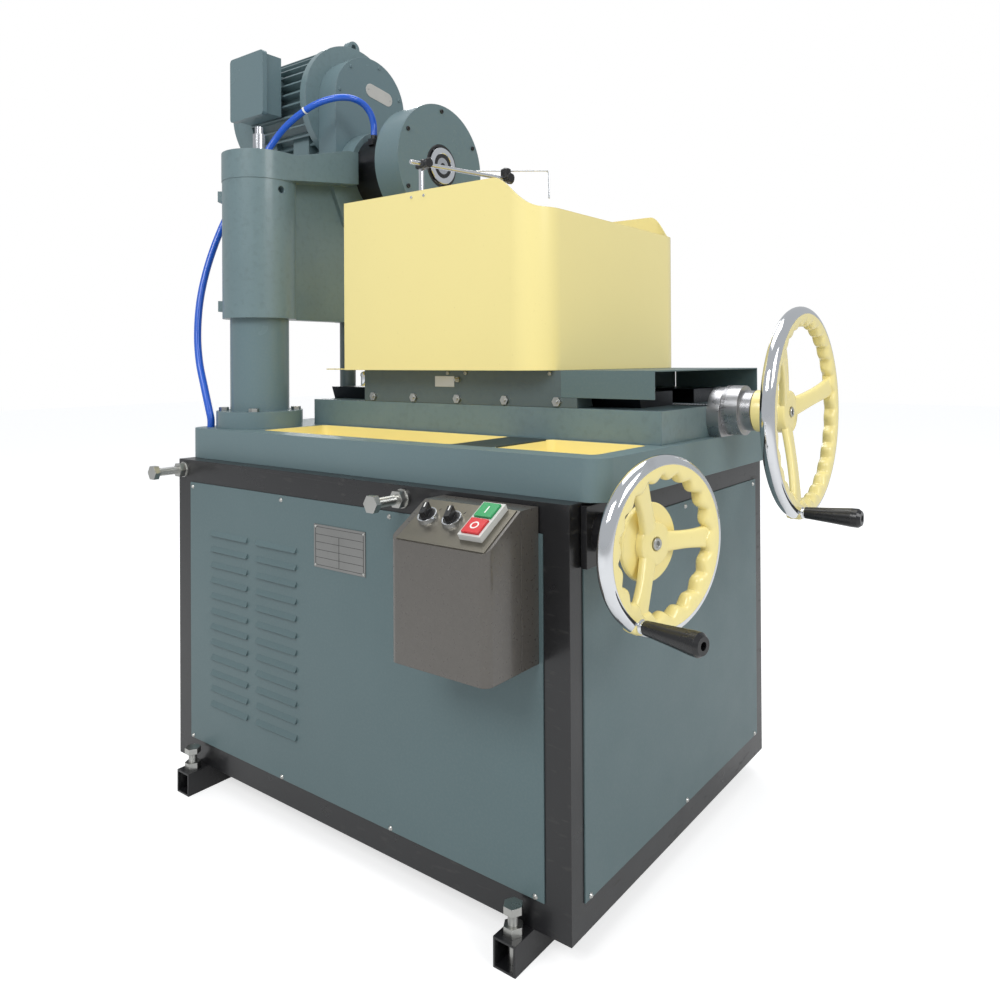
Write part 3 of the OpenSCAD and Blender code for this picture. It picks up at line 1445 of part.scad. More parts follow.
module motor_body() {
    bell_l = 0.07 * motor_l;
    cowl_l = 0.245 * motor_l;
    bell_x0 = motor_x1 - bell_l;
    cowl_x1 = motor_x0 + cowl_l;
    room_x0 = motor_x0 + 0.3 * motor_l;
    room_x1 = motor_x1 - 0.16 * motor_l;
    foot_w = 0.2 * motor_l;
    foot_y = 0.85 * motor_r;
    foot_t = 0.1 * motor_r;
    lug_x = motor_x1 - 0.5 * bell_l;
    color(blue) difference() {
        union() {
            translate([cowl_x1 - over, spindle_y, motor_z]) rotate([90, 0, 90])
                linear_extrude(bell_x0 - cowl_x1 + 2 * over) {
                    circle(motor_core_r);
                    for (i = [0 : fin_count - 1]) rotate((i + 0.5) * 360 / fin_count)
                        translate([0, -fin_t / 2]) square([motor_r - 0.02 * motor_r, fin_t]);
                }
            xcyl(motor_r, bell_x0, motor_x1, spindle_y, motor_z);
            xcyl(motor_r * 0.97, motor_x0, cowl_x1, spindle_y, motor_z);
            for (k = [0.24, 0.66]) for (s = [-1, 1])
                block([motor_x0 + k * motor_l,
                    spindle_y + s * foot_y - (s > 0 ? foot_y * 0.5 : 0.08 * motor_r), arm_top],
                    [motor_x0 + k * motor_l + foot_w,
                        spindle_y + s * foot_y + (s > 0 ? 0.08 * motor_r : foot_y * 0.5),
                        arm_top + foot_t]);
            for (k = [0.24, 0.66]) for (s = [-1, 1])
                block([motor_x0 + k * motor_l, spindle_y + s * 0.62 * motor_r - foot_t, arm_top],
                    [motor_x0 + k * motor_l + foot_w, spindle_y + s * 0.62 * motor_r + foot_t,
                        motor_z - 0.5 * motor_r]);
            translate([lug_x, spindle_y, motor_z + motor_r]) rotate([90, 0, 90]) difference() {
                translate([0, 0, -0.06 * motor_r]) cylinder(r = 0.12 * motor_r, h = 0.12 * motor_r);
                translate([0, 0.02 * motor_r, -motor_r]) cylinder(r = 0.05 * motor_r, h = 2 * motor_r);
            }
            block([term_x0 + 0.25 * term_w, term_y1 - over, term_z0 + 0.2 * term_h],
                [term_x1 - 0.25 * term_w, spindle_y - 0.8 * motor_core_r, term_z1 - 0.25 * term_h]);
        }
        xcyl(0.55 * motor_core_r, room_x0, room_x1, spindle_y, motor_z);
        xcyl(motor_shaft_r + fit, motor_x0 + 0.1 * motor_l - gap, motor_x1 + over, spindle_y, motor_z);
        block([term_x0 - over, term_y0, term_z0 - over], [term_x1 + over, term_y1, term_z1 + over]);
    }
}

term_x1 = motor_x1 - 0.278 * motor_l;
term_x0 = term_x1 - term_w;
term_y1 = spindle_y - motor_r - 0.015 * motor_r;
term_y0 = term_y1 - term_d;
term_z1 = motor_z + 0.71 * motor_r;
term_z0 = term_z1 - term_h;
lid_d = 0.22 * term_d;

module terminal_box() {
    lip = 0.1 * term_d;
    color(blue) {
        block([term_x0 + lip, term_y0 + lid_d, term_z0 + lip], [term_x1 - lip, term_y1, term_z1 - lip]);
        translate([0, term_y0 + lid_d, 0]) rotate([90, 0, 0]) linear_extrude(lid_d)
            round_rect(term_x0, term_z0, term_x1, term_z1, 1.5 * lip);
    }
}

// Coolant

fitting_y = spindle_y - 0.364 * housing_d;
fitting_x = boss_x1 + 0.327 * housing_l;
fitting_top = spindle_z + 0.426 * housing_d;

module coolant_fitting() {
    color(steel) difference() {
        union() {
            zcyl(hose_d / 2, spindle_z + 0.3 * housing_d, fitting_top, fitting_x, fitting_y);
            translate([fitting_x, fitting_y, spindle_z + 0.3 * housing_d]) hex(1.6 * hose_d,
                0.08 * housing_d);
        }
        zcyl(0.28 * hose_d, spindle_z, fitting_top + over, fitting_x, fitting_y);
        xcyl(housing_d / 2 + seat, boss_x1 - over, housing_x1 + over, spindle_y, spindle_z);
    }
}

// The hose's route from the table up to the spindle housing
hose_route = [[-434, -272, 657], [-434, -272, 672], [-440, -272, 690], [-458, -271, 735], [-478, -269, 785],
    [-492, -264, 840], [-500, -254, 905], [-502, -238, 970], [-500, -216, 1035], [-496, -190, 1095],
    [-491, -158, 1150], [-484, -128, 1200], [-470, -107, 1245], [-444, -92, 1283], [-408, -79, 1311],
    [-368, -63, 1332], [-333, -42, 1343], [-312, -18, 1345], [-303, 8, 1338], [-300, 26, 1323],
    [-300, 36, 1304], [-300, 38, 1288], [-300, 38, 1275]];
hose_sides = 12;
hose_step = 2.4 * hose_d;

function dist(a, b) = norm(b - a);
function route_at(k, u) = let (n = len(hose_route) - 1, p1 = hose_route[k], p2 = hose_route[min(n, k + 1)],
    p0 = hose_route[max(0, k - 1)], p3 = hose_route[min(n, k + 2)])
    0.5 * ((2 * p1) + (p2 - p0) * u + (2 * p0 - 5 * p1 + 4 * p2 - p3)
        * u * u + (3 * p1 - p0 - 3 * p2 + p3) * u * u * u);
hose_path = concat([hose_route[0]], [for (k = [1 : len(hose_route) - 3])
    let (n = max(1, round(dist(hose_route[k], hose_route[k + 1]) / hose_step)))
    for (i = [0 : n - 1]) route_at(k, i / n)], [hose_route[len(hose_route) - 2],
        hose_route[len(hose_route) - 1]]);

function unit(v) = v / norm(v);
function path_dir(i) = let (n = len(hose_path) - 1)
    i == 0 || i == n ? [0, 0, i == 0 ? 1 : -1] : unit(hose_path[i + 1] - hose_path[i - 1]);
function carry(v, d) = unit(v - (v * d) * d);
function side_dirs(i) = i == 0 ? [[1, 0, 0]] : let (before = side_dirs(i - 1)) concat(before,
    [carry(before[i - 1], path_dir(i))]);

module coolant_hose() {
    n = len(hose_path);
    sides = side_dirs(n - 1);
    rings = [for (i = [0 : n - 1], j = [0 : hose_sides - 1]) let (d = path_dir(i), a = sides[i],
        b = cross(d, a),
        t = j * 360 / hose_sides) hose_path[i] + hose_d / 2 * (cos(t) * a + sin(t) * b)];
    faces = concat([[for (j = [0 : hose_sides - 1]) j]], [for (i = [0 : n - 2], j = [0 : hose_sides - 1])
        let (q = (j + 1) % hose_sides) each [[i * hose_sides + j, (i + 1) * hose_sides + j, (i + 1)
            * hose_sides + q],
            [i * hose_sides + j, (i + 1) * hose_sides + q, i * hose_sides + q]]],
        [[for (j = [hose_sides - 1 : -1 : 0]) (n - 1) * hose_sides + j]]);
    color("blue") polyhedron(rings, faces);
}

tank_y0 = y0 + 0.62 * tube;
tank_z = frame_z + tube;

module coolant_tank() {
    color(grey) difference() {
        block([tank_x0, tank_y0, tank_z], [tank_x1, -tank_y0, tank_z + tank_h]);
        block([tank_x0 + tank_t, tank_y0 + tank_t, tank_z + tank_t], [tank_x1 - tank_t,
            -tank_y0 - tank_t, tank_z + tank_h + over]);
    }
}

module coolant_pump() {
    rim = tank_z + tank_h;
    px = tank_x0 + 1.4 * pump_r;
    py = hose_y + 0.7 * pump_r;
    pipe_z = rim + 0.5 * pump_r;
    bend_r = 1.5 * hose_d;
    color(grey) {
        block([tank_x0, tank_y0, rim], [px + 1.3 * pump_r, py + 1.3 * pump_r, rim + 2 * tank_t]);
        zcyl(pump_r, rim + tank_t, rim + 3 * pump_r, px, py);
        zcyl(0.3 * pump_r, tank_z + 0.2 * tank_h, rim + tank_t, px, py);
        zcyl(0.6 * pump_r, tank_z + 0.15 * tank_h, tank_z + 0.4 * tank_h, px, py);
        xcyl(hose_d / 2, hose_x + bend_r, px, hose_y, pipe_z);
        translate([hose_x + bend_r, hose_y, pipe_z + bend_r]) rotate([90, 0, 0]) rotate([0, 0, 180])
            rotate_extrude(angle = 90) translate([bend_r, 0]) circle(hose_d / 2);
        zcyl(hose_d / 2, pipe_z + bend_r, table_z, hose_x, hose_y);
    }
}

cabinet_frame();
front_panel();
right_panel();
left_panel();
back_panel();
skid_rails();
frame_bolts();
panel_screws();
name_plate();
control_box();
control_plate();
selector_bezels();
switch_housing();
tray_table();
column();
slide_base();
dovetail_ways();
screw_flange();
shaft_bearing();
coolant_tank();
coolant_pump();
selector_left();
selector_right();
start_button();
stop_button();
lift_handwheel();
lift_shaft();
lift_dial();
lift_grip();
transfer_shaft();
elevating_screw();
head_casting();
guide_rod();
elevating_nut();
motor_body();
terminal_box();
belt_guard();
spindle_housing();
wheel_guard();
wheel_cover();
coolant_fitting();
coolant_hose();
drive_belt();
motor_rotor();
wheel_spindle();
grinding_wheel();
carriage();
gib_strip();
gib_screws();
way_cover();
splash_guard();
lead_nut();
chuck_drive();
gauge_post();
lead_screw();
cross_handwheel();
cross_dial();
cross_grip();
gauge_arm();
work_chuck();
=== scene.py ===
"""Dresses the brake disc grinding machine: finishes, hose, handwheels, fasteners, marks and studio."""
from math import copysign, cos, hypot, inf, pi, radians, sin, sqrt

import bmesh
import bpy
from mathutils import Matrix, Vector


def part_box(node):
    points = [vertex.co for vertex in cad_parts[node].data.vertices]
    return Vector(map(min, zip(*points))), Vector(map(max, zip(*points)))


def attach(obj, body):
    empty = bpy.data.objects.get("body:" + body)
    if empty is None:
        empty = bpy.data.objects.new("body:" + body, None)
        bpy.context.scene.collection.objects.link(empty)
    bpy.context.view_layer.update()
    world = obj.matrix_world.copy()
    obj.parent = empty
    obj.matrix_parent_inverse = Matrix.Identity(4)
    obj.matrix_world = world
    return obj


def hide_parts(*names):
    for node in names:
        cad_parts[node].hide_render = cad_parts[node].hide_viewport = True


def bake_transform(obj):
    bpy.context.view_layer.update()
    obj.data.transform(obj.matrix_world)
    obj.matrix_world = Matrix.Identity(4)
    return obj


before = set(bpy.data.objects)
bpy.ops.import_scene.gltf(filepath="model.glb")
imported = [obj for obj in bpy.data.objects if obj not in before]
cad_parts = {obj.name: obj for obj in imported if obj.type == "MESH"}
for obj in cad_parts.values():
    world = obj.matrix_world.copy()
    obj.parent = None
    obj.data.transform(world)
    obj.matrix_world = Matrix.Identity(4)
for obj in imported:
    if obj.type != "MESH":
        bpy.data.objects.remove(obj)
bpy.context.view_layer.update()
scene = bpy.context.scene
MM = 0.001


# Camera: the photograph's own position, turn and lens

YAW, PITCH, ROLL = 0.63804068, 0.00479977, 0.00548322
FOCAL_PX, CENTRE_X, CENTRE_Y, FRAME_PX = 821.311, 524.272, 356.614, 1000.0
EYE = Vector((1.02297, -1.20188, 0.78410))
SENSOR_MM = 36.0


def linked(name, data):
    """A new object in the scene."""
    made = bpy.data.objects.new(name, data)
    scene.collection.objects.link(made)
    return made


def make_camera():
    ahead = Vector((-sin(YAW) * cos(PITCH), cos(YAW) * cos(PITCH), sin(PITCH)))
    right = Vector((cos(YAW), sin(YAW), 0.0))
    down = -right.cross(ahead)
    across = cos(ROLL) * right + sin(ROLL) * down
    below = -sin(ROLL) * right + cos(ROLL) * down
    data = bpy.data.cameras.new("camera")
    data.sensor_width = SENSOR_MM
    data.lens = FOCAL_PX / FRAME_PX * data.sensor_width
    data.shift_x = (FRAME_PX / 2 - CENTRE_X) / FRAME_PX
    data.shift_y = (CENTRE_Y - FRAME_PX / 2) / FRAME_PX
    camera = linked("camera", data)
    turn = Matrix((across, -below, -ahead)).transposed().to_4x4()
    camera.matrix_world = Matrix.Translation(EYE) @ turn
    scene.camera = camera


make_camera()


# Materials

# The numbers of the Mix node's sockets when it mixes colours
MIX_FACTOR, MIX_FIRST, MIX_SECOND, MIX_RESULT = 0, 6, 7, 2
COAT_ROUGH = 0.12
BEVEL_SAMPLES = 4


def linear(red, green, blue):
    """A colour given in screen values from 0 to 255, as Blender's own linear one."""
    out = []
    for value in (red, green, blue):
        share = value / 255.0
        out.append(share / 12.92 if share <= 0.04045 else ((share + 0.055) / 1.055) ** 2.4)
    return (*out, 1.0)


def put(node, values):
    """Sets a node's inputs by their names."""
    for name, value in values.items():
        node.inputs[name].default_value = value


def shaded(colour, factor):
    return (*[min(1.0, channel * factor) for channel in colour[:3]], 1.0)


class Finish:
    """One procedural material: broad colour drift, patchy gloss and fine relief."""

    def __init__(self, name, colour, rough=0.4, metal=0.0, coat=0.0, drift=0.06, drift_scale=6.0,
                 rough_drift=0.08, round_edge=0.0012):
        self.material = bpy.data.materials.new(name)
        self.material.use_nodes = True
        self.tree = self.material.node_tree
        self.shader = self.tree.nodes["Principled BSDF"]
        put(self.shader, {"Metallic": metal, "Coat Weight": coat, "Coat Roughness": COAT_ROUGH})
        self.place = self.tree.nodes.new("ShaderNodeTexCoord").outputs["Object"]
        clouds = self.noise(drift_scale, 4.0)
        self.colour = self.mix(clouds, shaded(colour, 1 - drift), shaded(colour, 1 + drift))
        patches = self.noise(drift_scale * 3, 3.0)
        self.rough = self.spread(patches, rough - rough_drift, rough + rough_drift, 0.05, 0.95)
        self.normal = None
        if round_edge:
            node = self.tree.nodes.new("ShaderNodeBevel")
            node.samples = BEVEL_SAMPLES
            put(node, {"Radius": round_edge})
            self.normal = node.outputs["Normal"]

    def link(self, source, target):
        self.tree.links.new(source, target)

    def noise(self, scale, detail=2.0, stretch=None):
        node = self.tree.nodes.new("ShaderNodeTexNoise")
        put(node, {"Scale": scale, "Detail": detail})
        source = self.place
        if stretch:
            mapping = self.tree.nodes.new("ShaderNodeMapping")
            put(mapping, {"Scale": stretch})
            self.link(source, mapping.inputs["Vector"])
            source = mapping.outputs["Vector"]
        self.link(source, node.inputs["Vector"])
        return node.outputs["Fac"]

    def cells(self, scale):
        node = self.tree.nodes.new("ShaderNodeTexVoronoi")
        node.feature = "SMOOTH_F1"
        put(node, {"Scale": scale})
        self.link(self.place, node.inputs["Vector"])
        return node.outputs["Distance"]

    def spread(self, source, low, high, start=0.3, end=0.7):
        node = self.tree.nodes.new("ShaderNodeMapRange")
        put(node, {"From Min": start, "From Max": end, "To Min": low, "To Max": high})
        self.link(source, node.inputs["Value"])
        return node.outputs["Result"]

    def mix(self, factor, first, second):
        node = self.tree.nodes.new("ShaderNodeMix")
        node.data_type = "RGBA"
        for number, value in ((MIX_FIRST, first), (MIX_SECOND, second)):
            socket = node.inputs[number]
            if isinstance(value, tuple):
                socket.default_value = value
            else:
                self.link(value, socket)
        self.link(factor, node.inputs[MIX_FACTOR])
        return node.outputs[MIX_RESULT]

    def maths(self, kind, first, second):
        node = self.tree.nodes.new("ShaderNodeMath")
        node.operation = kind
        for socket, value in zip(node.inputs, (first, second)):
            if isinstance(value, (int, float)):
                socket.default_value = value
            else:
                self.link(value, socket)
        return node.outputs[0]

    def inside(self, low, high):
        """1 within a box given in metres, 0 outside it."""
        parts = self.tree.nodes.new("ShaderNodeSeparateXYZ")
        self.link(self.place, parts.inputs[0])
        result = None
        for axis in range(3):
            above = self.maths("GREATER_THAN", parts.outputs[axis], low[axis])
            below = self.maths("LESS_THAN", parts.outputs[axis], high[axis])
            both = self.maths("MULTIPLY", above, below)
            result = both if result is None else self.maths("MULTIPLY", result, both)
        return result

    def stain(self, factor, colour):
        self.colour = self.mix(factor, self.colour, colour)

    def fleck(self, source, colour, amount, start, end):
        """Stains the places where source runs from start to end; returns how strongly."""
        factor = self.spread(source, 0.0, amount, start, end)
        self.stain(factor, colour)
        return factor

    def roughen(self, factor, rough):
        self.rough = self.maths("ADD", self.rough, self.maths("MULTIPLY", factor, rough))

    def relief(self, height, depth_mm, strength=0.4):
        node = self.tree.nodes.new("ShaderNodeBump")
        put(node, {"Distance": depth_mm * MM, "Strength": strength})
        self.link(height, node.inputs["Height"])
        if self.normal is not None:
            self.link(self.normal, node.inputs["Normal"])
        self.normal = node.outputs["Normal"]

    def done(self):
        self.link(self.colour, self.shader.inputs["Base Color"])
        self.link(self.rough, self.shader.inputs["Roughness"])
        if self.normal is not None:
            self.link(self.normal, self.shader.inputs["Normal"])
        return self.material


BLUE = linear(109, 130, 134)
CREAM = linear(253, 236, 160)
TOOL_MARK_SCALE = 900.0

# Where the tray's cream pockets and the dark strip between them lie, in metres
POCKETS_X = ((-0.2851, 0.1851), (0.2649, 0.4431))
POCKET_Y, POCKET_Z = (-0.2621, -0.1119), (0.62, 0.6565)
STRIP_X, STRIP_Z = (0.1849, 0.2651), (0.655, 0.6585)


def blue_paint(name, colour=BLUE, rough=0.42, peel_mm=0.12, peel_scale=420.0):
    """Stoved blue-grey paint with an orange-peel skin and a little dust."""
    finish = Finish(name, colour, rough=rough, coat=0.06, drift=0.05, drift_scale=5.0)
    put(finish.shader, {"Specular IOR Level": 0.35})
    finish.relief(finish.cells(peel_scale), depth_mm=peel_mm, strength=0.35)
    finish.relief(finish.noise(60.0, detail=2.0), depth_mm=0.08, strength=0.1)
    finish.fleck(finish.noise(240.0, detail=6.0), linear(140, 146, 142), 0.10, start=0.45, end=0.8)
    return finish


def cast_paint(name, colour=BLUE):
    """The same paint brushed over rough castings."""
    finish = Finish(name, colour, rough=0.36, coat=0.25, drift=0.09, drift_scale=9.0, round_edge=0.002)
    finish.relief(finish.noise(130.0, detail=6.0), depth_mm=0.9, strength=0.4)
    finish.relief(finish.cells(300.0), depth_mm=0.2, strength=0.3)
    finish.fleck(finish.noise(90.0, detail=5.0), linear(58, 68, 70), 0.22, start=0.5, end=0.85)
    return finish.done()


def black_gloss(name, grey=30):
    finish = Finish(name, linear(grey, grey, grey + 2), rough=0.3, coat=0.12, drift=0.2)
    finish.relief(finish.cells(350.0), depth_mm=0.15, strength=0.3)
    streaks = finish.noise(30.0, detail=8.0, stretch=(1.0, 1.0, 4.0))
    finish.roughen(finish.fleck(streaks, linear(92, 90, 86), 0.35, start=0.6, end=0.78), 0.9)
    return finish.done()


def cream_paint():
    finish = Finish("cream_paint", CREAM, rough=0.24, coat=0.5, drift=0.025, drift_scale=4.0,
                    rough_drift=0.05)
    finish.relief(finish.cells(260.0), depth_mm=0.18, strength=0.28)
    finish.fleck(finish.noise(300.0, detail=4.0), linear(206, 184, 122), 0.3, start=0.68, end=0.78)
    return finish.done()


def bare_metal(name, colour, rough, lines, drift):
    """Turned, ground or plated metal, with tool marks along one direction where lines are given."""
    finish = Finish(name, colour, rough=rough, metal=1.0, drift=drift, drift_scale=14.0,
                    rough_drift=min(0.08, rough * 0.5), round_edge=0.0006)
    finish.relief(finish.noise(TOOL_MARK_SCALE, detail=3.0, stretch=lines), depth_mm=0.06, strength=0.25)
    finish.fleck(finish.noise(40.0, detail=6.0), shaded(colour, 0.6), 0.25, start=0.55, end=0.8)
    return finish.done()


def plastic(name, colour, rough, grain):
    """Moulded plastic or rubber with a fine grain."""
    finish = Finish(name, colour, rough=rough, coat=0.15, drift=0.05, drift_scale=20.0, round_edge=0.0006)
    finish.relief(finish.cells(grain), depth_mm=0.08, strength=0.3)
    return finish.done()


def tray_paint():
    """Blue tray whose pockets are sprayed cream, with the dark strip between them."""
    finish = blue_paint("tray_paint", peel_mm=0.14)
    cream = finish.mix(finish.noise(5.0, detail=4.0), shaded(CREAM, 0.92), shaded(CREAM, 1.0))
    near, far = POCKET_Y
    for left, right in POCKETS_X:
        finish.stain(finish.inside((left, near, POCKET_Z[0]), (right, far, POCKET_Z[1])), cream)
    left, right = STRIP_X
    finish.stain(finish.inside((left, near, STRIP_Z[0]), (right, far, STRIP_Z[1])), linear(52, 62, 62))
    return finish.done()


def hammer_grey():
    finish = Finish("hammer_grey", linear(97, 93, 88), rough=0.3, metal=0.25, coat=0.4, drift=0.06,
                    drift_scale=60.0)
    dimples = finish.cells(300.0)
    finish.relief(dimples, depth_mm=0.3, strength=0.3)
    finish.fleck(dimples, linear(80, 77, 72), 0.25, start=0.0, end=0.6)
    return finish.done()


def abrasive():
    finish = Finish("abrasive", linear(120, 92, 74), rough=0.9, drift=0.2, drift_scale=500.0,
                    rough_drift=0.05)
    finish.relief(finish.cells(900.0), depth_mm=0.6, strength=0.8)
    return finish.done()


def hose_blue():
    finish = Finish("hose_blue", linear(26, 92, 205), rough=0.22, coat=0.4, drift=0.08, drift_scale=9.0,
                    round_edge=0)
    finish.relief(finish.noise(120.0, detail=3.0), depth_mm=0.1, strength=0.2)
    return finish.done()


MATERIALS = {
    "panel": blue_paint("panel_paint", linear(94, 114, 117)).done(),
    "gloss_blue": blue_paint("gloss_blue", linear(106, 127, 132), 0.24, 0.08, 300.0).done(),
    "cast_blue": cast_paint("cast_blue"),
    # A darker copy of the cast blue: painted shade for the carriage and guide rod, which lie in the guard's
    # shadow
    "shade_darkened_blue": cast_paint("shade_darkened_blue", linear(84, 98, 100)),
    "tray": tray_paint(),
    "black": black_gloss("black_gloss"),
    "black_cast": black_gloss("black_cast", grey=24),
    "cream": cream_paint(),
    "hammer": hammer_grey(),
}

# Metals: colour on screen, roughness, stretch of the tool marks, colour drift
METALS = {
    "chrome": ((225, 227, 230), 0.07, None, 0.02),
    "zinc": ((188, 188, 184), 0.3, None, 0.05),
    "steel": ((196, 198, 202), 0.22, (1.0, 12.0, 12.0), 0.05),
    "turned": ((178, 178, 180), 0.28, (14.0, 1.0, 1.0), 0.05),
    "plate": ((146, 146, 144), 0.4, (1.0, 30.0, 30.0), 0.05),
    "label": ((214, 212, 206), 0.5, None, 0.03),
    "engraved": ((126, 122, 112), 0.4, (1.0, 30.0, 30.0), 0.05),
    "ways": ((52, 54, 58), 0.3, (1.0, 20.0, 20.0), 0.05),
    "brass": ((196, 160, 92), 0.28, None, 0.05),
    "galvanised": ((150, 154, 156), 0.42, None, 0.2),
}
for metal, (tone, rough, lines, drift) in METALS.items():
    MATERIALS[metal] = bare_metal(metal, linear(*tone), rough, lines, drift)

# Plastics and rubber: colour on screen, roughness, scale of the grain
PLASTICS = {
    "plastic_black": ((24, 24, 26), 0.28, 500.0),
    "plastic_grey": ((206, 206, 202), 0.4, 500.0),
    "plastic_green": ((20, 150, 84), 0.3, 500.0),
    "plastic_red": ((206, 34, 40), 0.3, 500.0),
    "mark_white": ((240, 240, 236), 0.4, 500.0),
    "mark_black": ((30, 30, 32), 0.5, 500.0),
    "rubber": ((30, 30, 30), 0.7, 300.0),
}
for plastic_name, (tone, rough, grain) in PLASTICS.items():
    MATERIALS[plastic_name] = plastic(plastic_name, linear(*tone), rough, grain)
MATERIALS["abrasive"] = abrasive()
MATERIALS["hose"] = hose_blue()

NODES_OF = {
    "panel": "front_panel right_panel left_panel back_panel way_cover",
    "gloss_blue": "column belt_guard wheel_guard wheel_cover terminal_box",
    "cast_blue": "head_casting motor_body slide_base chuck_drive",
    # painted shade: the darker copy of the cast blue
    "shade_darkened_blue": "carriage guide_rod coolant_pump",
    "tray": "tray_table",
    "black": "cabinet_frame skid_rails shaft_bearing",
    "black_cast": "spindle_housing coolant_fitting",
    "cream": "splash_guard lift_handwheel cross_handwheel",
    "hammer": "control_box",
    "chrome": "selector_bezels gauge_post gauge_arm",
    "zinc": "frame_bolts panel_screws gib_screws",
    "steel": "lift_shaft transfer_shaft elevating_screw lead_screw wheel_spindle motor_rotor",
    "turned": "lift_dial cross_dial work_chuck screw_flange",
    "plate": "name_plate",
    "engraved": "control_plate",
    "ways": "dovetail_ways gib_strip",
    "brass": "elevating_nut lead_nut",
    "galvanised": "coolant_tank",
    "plastic_black": "selector_left selector_right lift_grip cross_grip",
    "plastic_grey": "switch_housing",
    "plastic_green": "start_button",
    "plastic_red": "stop_button",
    "rubber": "drive_belt",
    "abrasive": "grinding_wheel",
    "hose": "coolant_hose",
}
for material_name, members in NODES_OF.items():
    for member in members.split():
        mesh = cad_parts[member].data
        mesh.materials.clear()
        mesh.materials.append(MATERIALS[material_name])


# Meshes, written in millimetres

LEAST_CHAMFER = 0.01
SMOOTH_DEGREES = 35.0

# Both ends of a skin left open
OPEN = (False, False)


def turns_of(count):
    return [2 * pi * i / count for i in range(count)]


class Shape:
    """Points and faces gathered for one piece; kind is a face's place in the piece's list of materials."""

    def __init__(self):
        self.points = []
        self.faces = []
        self.kinds = []

    def add(self, points, faces, kind=0):
        first = len(self.points)
        self.points += [tuple(p) for p in points]
        self.faces += [[first + i for i in face] for face in faces]
        self.kinds += [kind] * len(faces)

    def rings(self, rings, kind=0, caps=(True, True), closed=False):
        """Joins closed rings of equal count into a skin."""
        count = len(rings[0])
        points = [p for ring in rings for p in ring]
        faces = []
        pairs = len(rings) if closed else len(rings) - 1
        for k in range(pairs):
            a, b = k * count, (k + 1) % len(rings) * count
            for i in range(count):
                j = (i + 1) % count
                faces.append([a + i, a + j, b + j, b + i])
        if not closed:
            if caps[0]:
                faces.append(list(range(count))[::-1])
            if caps[1]:
                faces.append([len(points) - count + i for i in range(count)])
        self.add(points, faces, kind)

    def lathe(self, basis, profile, segments=48, kind=0, caps=(True, True)):
        """Turns (radius, height) pairs round the basis' third axis."""
        rings = []
        for radius, height in profile:
            ring = []
            for angle in turns_of(segments):
                ring.append(basis(radius * cos(angle), radius * sin(angle), height))
            rings.append(ring)
        self.rings(rings, kind, caps)

    def tube(self, path, radius, segments):
        """A round bar along a path, without twist."""
        path = [Vector(p) for p in path]
        side = None
        rings = []
        for k, point in enumerate(path):
            ahead = (path[min(k + 1, len(path) - 1)] - path[max(k - 1, 0)]).normalized()
            if side is None:
                side = ahead.orthogonal().normalized()
            side = (side - ahead * side.dot(ahead)).normalized()
            other = ahead.cross(side)
            ring = []
            for angle in turns_of(segments):
                ring.append(point + radius * (cos(angle) * side + sin(angle) * other))
            rings.append(ring)
        self.rings(rings)

    def block(self, basis, low, high, chamfer=0.0):
        """A box whose twelve edges are chamfered."""
        (x0, y0, z0), (x1, y1, z1) = low, high
        corner = max(chamfer, LEAST_CHAMFER)
        rings = []
        for height, inset in ((z0, chamfer), (z0 + chamfer, 0.0), (z1 - chamfer, 0.0), (z1, chamfer)):
            left, right, near, far = x0 + inset, x1 - inset, y0 + inset, y1 - inset
            outline = ((left + corner, near), (right - corner, near), (right, near + corner),
                       (right, far - corner), (right - corner, far), (left + corner, far),
                       (left, far - corner), (left, near + corner))
            rings.append([basis(u, v, height) for u, v in outline])
        self.rings(rings)

    def prism(self, basis, outline, z0, z1, chamfer):
        """An outline raised from z0 to z1, drawn in towards its middle at the top."""
        middle = [sum(p[i] for p in outline) / len(outline) for i in (0, 1)]
        rings = []
        for height, inset in ((z0, 0.0), (z1 - chamfer, 0.0), (z1, chamfer)):
            ring = []
            for u, v in outline:
                du, dv = u - middle[0], v - middle[1]
                keep = 1.0 - inset / hypot(du, dv)
                ring.append(basis(middle[0] + du * keep, middle[1] + dv * keep, height))
            rings.append(ring)
        self.rings(rings)

    def piece(self, name, materials, body, replaces=(), slot=None, angle=SMOOTH_DEGREES, blend=None):
        mesh = bpy.data.meshes.new(name)
        mesh.from_pydata([tuple(MM * c for c in p) for p in self.points], [], self.faces)
        for material in materials:
            mesh.materials.append(MATERIALS[material])
        mesh.polygons.foreach_set("material_index", self.kinds)
        work = bmesh.new()
        work.from_mesh(mesh)
        bmesh.ops.recalc_face_normals(work, faces=work.faces)
        work.to_mesh(mesh)
        work.free()
        mesh.polygons.foreach_set("use_smooth", [True] * len(mesh.polygons))
        mesh.set_sharp_from_angle(angle=radians(angle))
        mesh.update()
        made = linked(name, mesh)
        if blend:
            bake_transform(made)
        else:
            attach(made, body)
        if replaces:
            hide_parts(*replaces)
        return made


def basis_at(origin, axis, across=None):
    """A local frame: its third axis points along axis, its first along across."""
    origin, axis = Vector(origin), Vector(axis).normalized()
    first = Vector(across) if across is not None else axis.orthogonal()
    first = (first - axis * first.dot(axis)).normalized()
    second = axis.cross(first)
    return lambda u, v, w: origin + u * first + v * second + w * axis


def hexagon(flats, turn):
    """A hexagon given by its width over flats and its turn in degrees."""
    reach = flats / sqrt(3)
    turns = [radians(60 * i + turn) for i in range(6)]
    return [(reach * cos(angle), reach * sin(angle)) for angle in turns]


def curve_through(points, steps):
    """Catmull-Rom points through the given ones."""
    given = [Vector(p) for p in points]
    out = []
    for k in range(len(given) - 1):
        a = given[max(k - 1, 0)]
        b, c = given[k], given[k + 1]
        d = given[min(k + 2, len(given) - 1)]
        for i in range(steps):
            t = i / steps
            out.append(0.5 * (2 * b + (c - a) * t + (2 * a - 5 * b + 4 * c - d) * t * t
                              + (3 * b - a - 3 * c + d) * t * t * t))
    out.append(given[-1])
    return out


# Coolant hose, a cord between the tray and the head

